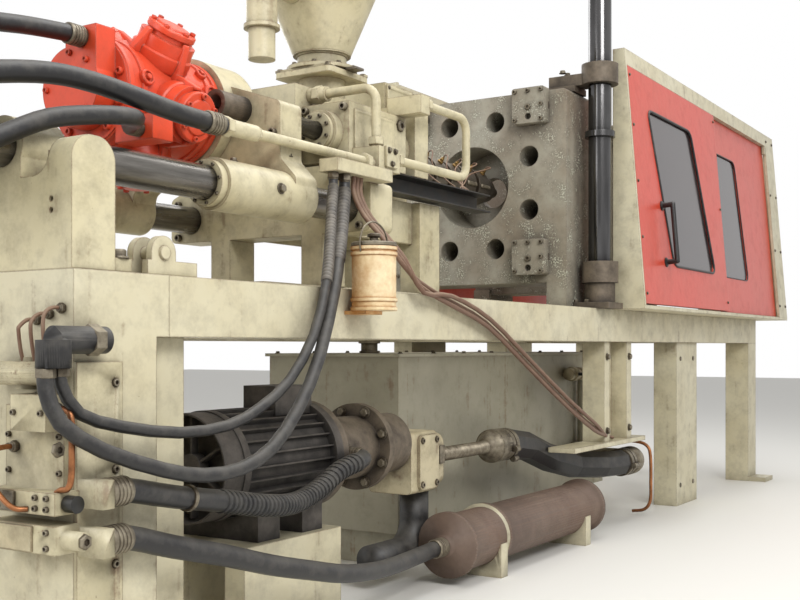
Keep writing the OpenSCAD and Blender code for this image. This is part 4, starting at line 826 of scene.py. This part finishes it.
# %% [markdown]
# **Hose ends.** Each hose is crimped into a ribbed ferrule, and a union nut joins it to its
# pipe or block. The ferrules are scaled to their hose; the big outlet hose is held by
# worm clamps instead.

# %% Ferrules, unions and clamps


def along(a, b):
    """The unit way from one point to another."""
    return (Vector(b) - Vector(a)).normalized()


carriage_ends = [stand((722, -430, 1652), right, 0.97), stand((494, -60, 1930), right, 0.92)]
carriage_ends.append(stand((588, -240, 1634), along((588, -240, 1634), (640, -228, 1636)), 0.72))
set_out(ferrule, "carriage_hose_ferrules", carriage_ends, "carriage")
set_out(ferrule, "rear_hose_ferrules",
        [stand((-230, -130, 1832), right, 0.92), stand((-230, -500, 1420), right, 0.86),
         stand((-230, -430, 1610), right, 0.98)], "carriage")
set_out(ferrule, "pedestal_hose_ferrules",
        [stand((40, -722, 592), right, 1.02), stand((40, -722, 474), right, 1.02),
         stand((1860, -580, 160), right, 1.02), stand((1395, -560, 555), (0, 1, 0), 1.02)], "base")
set_out(union, "pipe_unions",
        [stand((800, -430, 1652), right, 1.0), stand((945, -430, 1652), right, 0.8),
         stand((1590, -430, 1652), right, 0.95), stand((1840, -430, 1687), left, 0.95),
         stand((2064, -430, 1945), left, 0.95), stand((1680, -430, 1755), down, 0.95),
         stand((1680, -175, 1950), (0, 1, 0), 1.1)], "carriage", cream_casting)
glands = [stand((1275, -520, 1560), down, 0.62), stand((1335, -525, 1560), down, 0.72)]
set_out(union, "conduit_box_glands", glands, "base")
set_out(union, "conduit_elbow_glands",
        [stand((-75, -700, 900), down, 0.62), stand((-120, -700, 900), down, 0.72)], "base")
set_out(hose_band, "outlet_hose_clamps",
        [stand((x, -440, 500), right, 2.14, t) for x, t in ((2684, 100), (2722, 140))]
        + [stand((x, -590, 330), right, 2.14, 100) for x in (3800, 3842)], "base")

# %% [markdown]
# **Plates and covers.** Thin plates held by screws clamp the long pipe's tee block and close
# the near cylinder, the terminal box and the pump's block. A plate is a box that is inset and
# pushed in on its face, so that a rim stands round it, and its edges are eased.

# %% Plates with a rim


def rimmed_plate(name, low, high, side, finish, rim=6, depth=2, ease=2):
    """A plate between two corners in millimetres, its face on one side set back inside a rim."""
    fresh()
    middle = [(a + b) / 2 for a, b in zip(low, high)]
    bpy.ops.mesh.primitive_cube_add(size=1, location=at(*middle),
                                    scale=[mm(b - a) for a, b in zip(low, high)])
    piece = bpy.context.active_object
    piece.name = piece.data.name = name
    bpy.ops.object.transform_apply(location=True, scale=True)
    way = Vector(side)
    pick(piece, lambda at_, normal: normal.dot(way) > 0.9)
    bpy.ops.mesh.inset(thickness=mm(rim), depth=0)
    bpy.ops.mesh.inset(thickness=mm(1.5), depth=-mm(depth))
    bpy.ops.object.mode_set(mode="OBJECT")
    ease_edges(piece, ease)
    piece.data.materials.append(finish)
    return piece


def ease_edges(piece, width):
    """Rounds a piece's sharp edges by a width in millimetres."""
    choose(piece)
    bevel = piece.modifiers.new("eased", "BEVEL")
    bevel.width = mm(width)
    bevel.segments = 2
    bevel.limit_method = "ANGLE"
    bevel.angle_limit = math.radians(40)
    bpy.ops.object.modifier_apply(modifier="eased")
    bpy.ops.object.shade_smooth_by_angle(angle=math.radians(35))


put(rimmed_plate("tee_clamp_plate", (1690, -474, 1640), (1764, -462, 1722), near, cream_casting),
    "carriage")
set_out(hex_bolt, "tee_clamp_bolts",
        spread([(1706, -474, 1705), (1748, -474, 1705), (1727, -474, 1655)], near, 0.7), "carriage")
put(rimmed_plate("near_cylinder_side_plate", (1660, -346, 1700), (1940, -339, 1872), near,
                 cream_casting, 10, 2), "carriage")
set_out(plug, "cylinder_port_plugs", spread([(1800, -346, 1840), (1990, -339, 1860)], near, 1.5),
        "carriage")
put(rimmed_plate("terminal_box_cover", (2240, -120, 1900), (2462, -108, 2108), near, cream_casting,
                 14, 4, 3), "carriage")
set_out(hex_bolt, "terminal_box_screws",
        spread([(x, -120, z) for x in (2250, 2452) for z in (1910, 2098)], near, 0.5), "carriage")
put(rimmed_plate("pump_block_blank_plate", (2071, -486, 470), (2109, -473, 545), near,
                 fitting_steel, 3, 1.5), "base")
set_out(socket_screw, "pump_block_screws",
        spread([(1986 + a, -480, 486 + b) for a in (-55, 55) for b in (-88, 88)], near, 0.95),
        "base")
set_out(hex_bolt, "pump_flange_bolts", ring(1616, pump_y, pump_z, 142, 8, left, 22.5, 1.2), "base")
set_out(hex_bolt, "bell_flange_bolts", ring(1315, pump_y, pump_z, 170, 12, right, 15), "base")

# %% [markdown]
# ** Wires and cables.** Thin brown cables hang from the connector under the carrier along the
# side of the base, and a wire runs from each heater band into the tray. Each is a cord of a
# fixed length, drawn through its points like the hoses.

# %% Cables with their lengths


def cable(name, radius, steps, rider, points):
    """A brown sheathed cable along a smooth line, on its body; gives its length."""
    piece, run = curve_piece(name, smooth_line(points, steps), radius)
    piece.data.materials.append(cable_brown)
    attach(piece, rider)
    return round(run, 3)


lengths = []
for k, (shift, sag) in enumerate([(0, 0), (22, 18), (44, -12)]):
    lengths.append(cable("side_cable_%d" % (k + 1), 9, 3, "base", [
        (1400 + shift, -520, 1562), (1400 + shift, -520, 1500), (1404 + shift, -560, 1420),
        (1412 + shift, -640, 1330), (1440 + shift, -684, 1262),
        (1560, -690 - 0.6 * shift, 1190 - shift), (1780, -686 - 0.5 * shift, 1130 - sag),
        (2100, -680 - 0.5 * shift, 1050 - sag), (2480, -676 - 0.5 * shift, 880 - sag),
        (2900, -674 - 0.5 * shift, 690 - sag), (3240, -668 - 0.4 * shift, 560 - sag),
        (3440, -650, 505), (3560, -610, 490), (3640, -570 - shift, 476)]))
band_starts = [2430 + 143.33 * i for i in range(6)]
for k, x in enumerate(band_starts):
    end_x = min(x, 2740 - 22 * k)
    lengths.append(cable("heater_wire_%d" % (k + 1), 3.2, 4, "carriage", [
        (x + 70, -84, axis_z + 84), (x + 66, -98, axis_z + 96), (x + 46, -124, axis_z + 84),
        (0.6 * x + 0.4 * end_x, -150, axis_z + 20),
        (0.25 * x + 0.75 * end_x + 20, -205, axis_z - 50), (end_x + 10, -262, axis_z - 92),
        (end_x - 14, -292, axis_z - 109), (end_x - 34, -300, axis_z - 110.5)]))
print("cable lengths:", lengths)

# %% [markdown]
# **Wrapped bundles.** The conduits are bound with oily cloth tape where they climb to the
# carrier, and the thick pump hose wears a spiral guard. A short ring with rounded edges is
# modelled once and set out closely along the line, each turned a little off square, as a
# hand-wound tape lies.

# %% Rings set out along a line


def bound(name, points, first, last, every, size, tilt, model, body):
    """Copies of a ring along the part of a smooth line whose X lies between first and last."""
    line = smooth_line(points, 60)
    places, since = [], every
    for a, b in zip(line, line[1:]):
        since += (b - a).length
        if since >= every and first <= a.x <= last:
            way = (b - a).normalized() + Vector((0, tilt, 0.4 * tilt))
            places.append(stand(a, way, size, 37 * len(places)))
            since = 0
    return set_out(model, name, places, body)


tape_ring = turned("tape_ring_model",
                   [(15, -11), (17.8, -9), (19.6, -2), (18.8, 6), (17, 9), (15, 11)], 24, tape_wrap)
bound("upper_conduit_tape", routes["conduit_upper"][3], 1010, 1275, 15, 1.0, 0.16, tape_ring,
      "base")
bound("lower_conduit_tape", routes["conduit_lower"][3], 1130, 1335, 15, 1.22, -0.16, tape_ring,
      "base")
guard_ring = turned("spiral_guard_model", [(31, -8), (33.4, -7), (34.4, -4), (34.4, 4), (33.4, 7),
                                           (31, 8)], 28, hose_rubber)
bound("upper_hose_spiral_guard", routes["pedestal_hose_upper"][3], 470, 1310, 22, 1.0, 0.22,
      guard_ring, "base")
clip_ring = turned("hose_clip_model", [(31, -6), (36, -6), (36, 6), (31, 6)], 28, fitting_steel)
bound("pedestal_hose_clips", routes["pedestal_hose_upper"][3], 96, 360, 240, 1.0, 0.0, clip_ring,
      "base")
sleeve = turned("blue_sleeve_model", [(27, -40), (29.5, -38), (29.5, 38), (27, 40)], 28,
                blue_sleeve)
set_out(sleeve, "hose_sleeves", [stand((-150, -130, 1833), (1, 0.02, 0.03), 1.0),
                                 stand((-140, -430, 1616), (1, 0, 0.16), 1.08)], "carriage")

# %% [markdown]
# **Rigid tubes.** Copper and steel tubes are bent cold and keep their shape, so they are no
# cords. A curve with a round section gives the even bends, and it is turned into a mesh.

# %% Bent tubes and closed lips


def tube(name, points, radius, finish, closed=False):
    """A stiff tube as a mesh: through the points, or round them when it is closed."""
    line = points if closed else smooth_line(points, 5)
    piece = curve_piece(name, line, radius, 3, closed)[0]
    choose(piece)
    bpy.ops.object.convert(target="MESH")
    piece = bpy.context.active_object
    bpy.ops.object.shade_smooth_by_angle(angle=math.radians(60))
    piece.data.materials.clear()
    piece.data.materials.append(finish)
    return piece


def cut_corners(points, r, parts=5):
    """A closed outline with its corners rounded."""
    out, n = [], len(points)
    for i in range(n):
        a, b, c = (Vector(points[(i + k - 1) % n]) for k in range(3))
        first, last = b + (a - b).normalized() * r, b + (c - b).normalized() * r
        for k in range(parts + 1):
            t = k / parts
            out.append(first * (1 - t) ** 2 + b * 2 * t * (1 - t) + last * t * t)
    return out


put(tube("valve_copper_tube",
         [(-55, -655, 800), (-55, -690, 800), (-55, -712, 780), (-55, -714, 700), (-55, -712, 640),
          (-55, -700, 612), (-55, -676, 606), (-55, -660, 598)], 8, copper), "base")
put(tube("valve_drain_tube",
         [(-20, -470, 700), (-60, -470, 700), (-96, -470, 690), (-112, -480, 640),
          (-110, -520, 590), (-100, -560, 560), (-74, -580, 556)], 7, copper), "base")
for k, y in enumerate((-620, -575, -530)):
    put(tube("pilot_tube_%d" % (k + 1),
             [(0, y, 1046 - 14 * k), (-34, y, 1046 - 14 * k), (-58, y, 1030 - 14 * k),
              (-62, y, 990), (-50, y + 6, 940), (-36, y + 10, 905)], 5, cable_brown), "base")
put(tube("drain_copper_tube", [
    (4125, -265, 420), (4125, -400, 420), (4125, -560, 418), (4125, -626, 396), (4125, -646, 340),
    (4125, -648, 200), (4125, -644, 90), (4125, -610, 40), (4125, -540, 26)], 9, copper), "base")
put(tube("can_bail",
         [(1120, -742, 1262), (1116, -742, 1300), (1140, -742, 1345), (1198, -742, 1366),
          (1256, -742, 1345), (1280, -742, 1300), (1276, -742, 1262)], 3, fitting_steel), "base")

# %% [markdown]
# **Seams and lips.** A rolled bead closes the hopper's wall above its cone, the windows sit
# in black rubber lips, and the door handles stand on turned feet.

# %% Beads, lips and feet
seam = turned("hopper_seam_model", [(303, -7), (309, -5), (310, 0), (309, 5), (303, 7)], 72,
              cream_casting, hollow=True)
set_out(seam, "hopper_seams", [stand((hopper_x, 0, z)) for z in (2602.6, 2690)], "carriage")
low_seam = turned("throat_seam_model", [(103, -5), (109, -4), (110, 3), (119, 8), (121, 14),
                                        (103, 14)], 56, cream_casting, hollow=True)
set_out(low_seam, "throat_seam", [stand((hopper_x, 0, 2170))], "carriage")


def slope(x, into, rise, side):
    """A point on the guard's sloping face: along it, into it and up it, on one side."""
    return (x, side * (GUARD_FOOT_Y - into * math.cos(LEAN) - rise * math.sin(LEAN)),
            GUARD_FOOT_Z - into * math.sin(LEAN) + rise * math.cos(LEAN))


door_glass = [(4036, 228), (4790, 228), (4521, 1047), (3803, 1047)]
panel_glass = [(5077, 228), (5635, 228), (5519, 1012), (4909, 1012)]
door_rows = [(3576, z) for z in (60, 350, 640, 930, 1190)] + [(5010, z) for z in (60, 640, 1190)]
strip_rows = [(x, z) for x in (6310, 6470) for z in (80, 480, 880, 1270)]
foot = turned("handle_foot_model", [(25, -1), (26, 1), (26, 5), (20, 9), (14.5, 12)], 28, phenolic)
sides = (("near", -1), ("far", 1))
outward = {side: (0, side * math.cos(LEAN), math.sin(LEAN)) for name, side in sides}
for name, side in sides:
    door_lip = cut_corners([slope(x, -1, z, side) for x, z in door_glass], 60)
    panel_lip = cut_corners([slope(x, 27, z, side) for x, z in panel_glass], 60)
    put(tube(name + "_door_window_lip", door_lip, 7, hose_rubber, True),
        name + "_door")
    put(tube(name + "_panel_window_lip", panel_lip, 4, hose_rubber, True), "base")
for name, side in sides:
    set_out(foot, name + "_handle_feet",
            [stand(slope(3910, 0, z, side), outward[side]) for z in (240, 545)],
            name + "_door")
for name, side in sides:
    set_out(hex_bolt, name + "_door_bolts",
            [stand(slope(x, 0, z, side), outward[side], 0.5) for x, z in door_rows],
            name + "_door")
set_out(hex_bolt, "guard_end_bolts",
        [stand(slope(x, 0, z, side), outward[side], 0.6)
         for name, side in sides for x, z in strip_rows], "base")

# %% [markdown]
# **Valves, lugs and terminals.** What is left are the small fittings of the pedestal, the
# tank and the barrel: screws in the valve plates, a return valve on the tank's pipe, lids
# and lugs, and a clamp and a terminal on every heater band.

# %% Fittings of the pedestal
set_out(socket_screw, "cover_screws",
        spread([(125, -663, z) for z in (160, 400, 640, 860)], near, 0.85), "base")
plate_rows = [(-20, y, z) for y in (-632, -444) for z in (640, 700, 730)]
plate_rows += [(-75, y, 790) for y in (-630, -530)]
plate_rows += [(-75, y, z) for y in (-650, -610, -480) for z in (560, 586)]
plate_rows += [(-75, y, z) for y in (-650, -450) for z in (466, 504)]
set_out(socket_screw, "valve_plate_screws", spread(plate_rows, left, 0.62), "base")
put(rimmed_plate("valve_end_plate", (-84, -536, 549), (-75, -434, 597), left, fitting_steel, 4,
                 1.5), "base")
put(rimmed_plate("lower_valve_plate", (-82, -600, 454), (-75, -470, 516), left, pump_enamel, 5,
                 1.5), "base")
set_out(plug, "valve_plugs",
        spread([(-38, -737, 485), (-45, -640, 885), (-40, -645, 700)], near, 1.15), "base")
set_out(union, "elbow_nut", [stand((4, -700, 967), right, 1.16)], "base")
set_out(union, "pilot_unions",
        [stand((0, y, 1046 - 14 * k), left, 0.4) for k, y in enumerate((-620, -575, -530))]
        + [stand((-55, -655, 800), near, 0.5), stand((-20, -470, 700), left, 0.45)], "base")

# %% [markdown]
# The tank has a bolted lid, a filler cap and a return valve with a small hand wheel, and the
# can has a lid with a knob. All of these are round, so they are turned like the screws. The
# legs and the cooler's straps are bolted on.

# %% Fittings of the tank, the can and the beams
valve = turned("return_valve_model", [(27, 0), (36, 2), (36, 34), (29, 38), (29, 92), (40, 96),
                                      (40, 128), (33, 132), (33, 168), (20, 176)], 32, pump_enamel)
set_out(valve, "return_valve", [stand((3974, -290, 800), left)], "base")
wheel = turned("valve_stem_model", [(9, 0), (9, 46), (34, 48), (36, 52), (36, 60), (34, 63),
                                    (12, 66), (12, 72)], 28, phenolic)
set_out(wheel, "return_valve_wheel", [stand((3862, -318, 800), near)], "base")
lid = turned("can_lid_model", [(70, 0), (76, 2), (76, 12), (72, 15), (16, 15), (14, 30), (22, 34),
                               (22, 42), (14, 46)], 48, fitting_steel)
set_out(lid, "can_lid", [stand((1198, -742, 1282))], "base")
set_out(hex_bolt, "leg_bolts",
        spread([(x, -637, z) for x in (3505, 3815) for z in (520, 900)], near, 1.1)
        + spread([(x, -627, z) for x in (4670, 4910) for z in (120, 880)], near, 1.1), "base")
set_out(hex_bolt, "cooler_strap_bolts",
        spread([(x, -580 + s * 100, 140) for x in STRAP_PLACES for s in (-1, 1)], up), "base")
cap = turned("filler_cap_model", [(46, 0), (46, 10), (38, 12), (38, 44), (50, 46), (50, 62),
                                  (44, 67), (14, 67)], 40, fitting_steel)
set_out(cap, "tank_filler_cap", [stand((2360, 60, 921))], "base")
set_out(hex_bolt, "tank_lid_bolts",
        spread([(x, y, 921) for x in range(2160, 4400, 280) for y in (-235, 435)], up, 0.7), "base")

# %% [markdown]
# Each heater band is clamped by two bolts at a lug, and is fed through a brass terminal. The
# lug is a narrowed box, like the ribs of the motor. The flange of the clamp cylinder has
# eight screws, none at its top and bottom, and a bent pipe joins the cylinder's two ports.

# %% Fittings of the barrel and the clamp end
set_out(hex_bolt, "band_bolts", [stand((x + dx, -93, axis_z - 6), near, 0.7) for x in band_starts
                                 for dx in (22, 88)], "carriage")
clamp_lug = rib("band_clamp_model", (-48, -12, 0), (48, 12, 12), (0.96, 0.7, 0, 0), fitting_steel)
set_out(clamp_lug, "band_clamps", [stand((x + 55, -90, axis_z - 6), near) for x in band_starts],
        "carriage")
terminal = turned("band_terminal_model", [(15, 0), (15, 9), (10, 12), (10, 24), (6, 26), (6, 34)],
                  18, brass)
set_out(terminal, "band_terminals",
        [stand((x + 70, -64, axis_z + 64), (0, -1, 1)) for x in band_starts], "carriage")
set_out(hex_bolt, "cylinder_platen_bolts",
        [stand((6000.5, y * a, axis_z + z * b), right, 1.4) for y in (-1, 1) for z in (-1, 1)
         for a, b in ((230, 420), (440, 290))], "base")
flange_angles = [math.radians(a) for a in (15, 45, 135, 165, 195, 225, 315, 345)]
flange_round = 267
set_out(socket_screw, "clamp_cylinder_screws",
        [stand((6050, flange_round * math.cos(a), axis_z + flange_round * math.sin(a)), right, 1.2)
         for a in flange_angles] + ring(6610, 0, axis_z, 190, 10, right, 18, 1.5), "base")
set_out(boss, "clamp_cylinder_plug", [stand((6588, 0, axis_z), right, 1.6)], "base",
        cream_casting)
set_out(union, "clamp_cylinder_unions",
        [stand((x, 0, axis_z + 226), up, 1.0) for x in (6220, 6500)], "base")
put(tube("clamp_oil_pipe", [(6500, 0, 2040), (6500, 0, 2064), (6486, 0, 2092), (6440, 0, 2104),
                            (6280, 0, 2104), (6234, 0, 2092), (6220, 0, 2064), (6220, 0, 2040)], 16,
         fitting_steel), "base")
set_out(union, "bridge_ports", [stand((-280, y, z), left, 1.15)
                                for y, z in ((-130, 1832), (-500, 1420), (-430, 1610))], "carriage")

# %% [markdown]
# **Floor and light.** The machine stands on a pale concrete-grey floor in front of a white
# backdrop, and soft lamps light it evenly from above and from the operator's side.

# %% Floor, backdrop and lamps


def lamp(name, place, aim, size, power):
    """A soft rectangular lamp at a place, aimed at a point, both in metres."""
    light = bpy.data.lights.new(name, "AREA")
    light.shape = "RECTANGLE"
    light.size, light.size_y = size
    light.energy = power
    piece = bpy.data.objects.new(name, light)
    bpy.context.scene.collection.objects.link(piece)
    piece.location = place
    piece.rotation_euler = (Vector(aim) - Vector(place)).to_track_quat("-Z", "Y").to_euler()
    return piece


floor_paint, tree, shader, where = blank("pale_floor")
shader.inputs["Base Color"].default_value = colour("#e6e4de")
shader.inputs["Roughness"].default_value = 0.6
fresh()
bpy.ops.mesh.primitive_plane_add(size=60, location=(0, 0, 0))
floor = bpy.context.active_object
floor.name = "studio_floor"
floor.data.materials.append(floor_paint)
world = bpy.data.worlds.new("studio")
bpy.context.scene.world = world
world.use_nodes = True
sky = world.node_tree
sky.nodes.clear()
rays = add(sky, "LightPath")
seen = add(sky, "Math", {0: rays.outputs["Is Camera Ray"], 1: rays.outputs["Is Glossy Ray"]},
           operation="MAXIMUM")
seen = add(sky, "Math", {0: seen.outputs[0], 1: rays.outputs["Is Transmission Ray"]},
           operation="MAXIMUM")
strength = add(sky, "Math", {0: seen.outputs[0], 1: 0.55, 2: 0.45}, operation="MULTIPLY_ADD")
glow = add(sky, "Background", {"Color": (1, 1, 1, 1), "Strength": strength.outputs[0]})
add(sky, "OutputWorld", {"Surface": glow.outputs[0]})
lamp("key_lamp", (-4.5, -5.5, 5.0), (-1.2, 0, 1.0), (3.5, 2.5), 330)
lamp("top_lamp", (0.5, -1.0, 6.5), (0.3, 0, 0), (7, 3), 260)
lamp("fill_lamp", (-7.5, 1.5, 3.2), (-1.5, 0, 1.2), (3, 2.5), 110)
lamp("back_lamp", (2.5, 6.5, 4.5), (0, 0, 1.0), (4, 2.5), 150)
bpy.context.scene.view_settings.view_transform = "Standard"

# %% [markdown]
# The models have done their work and leave the scene.

# %% The end
fresh()
for piece in [o for o in bpy.data.objects if o.name.endswith("_model")]:
    bpy.data.objects.remove(piece)
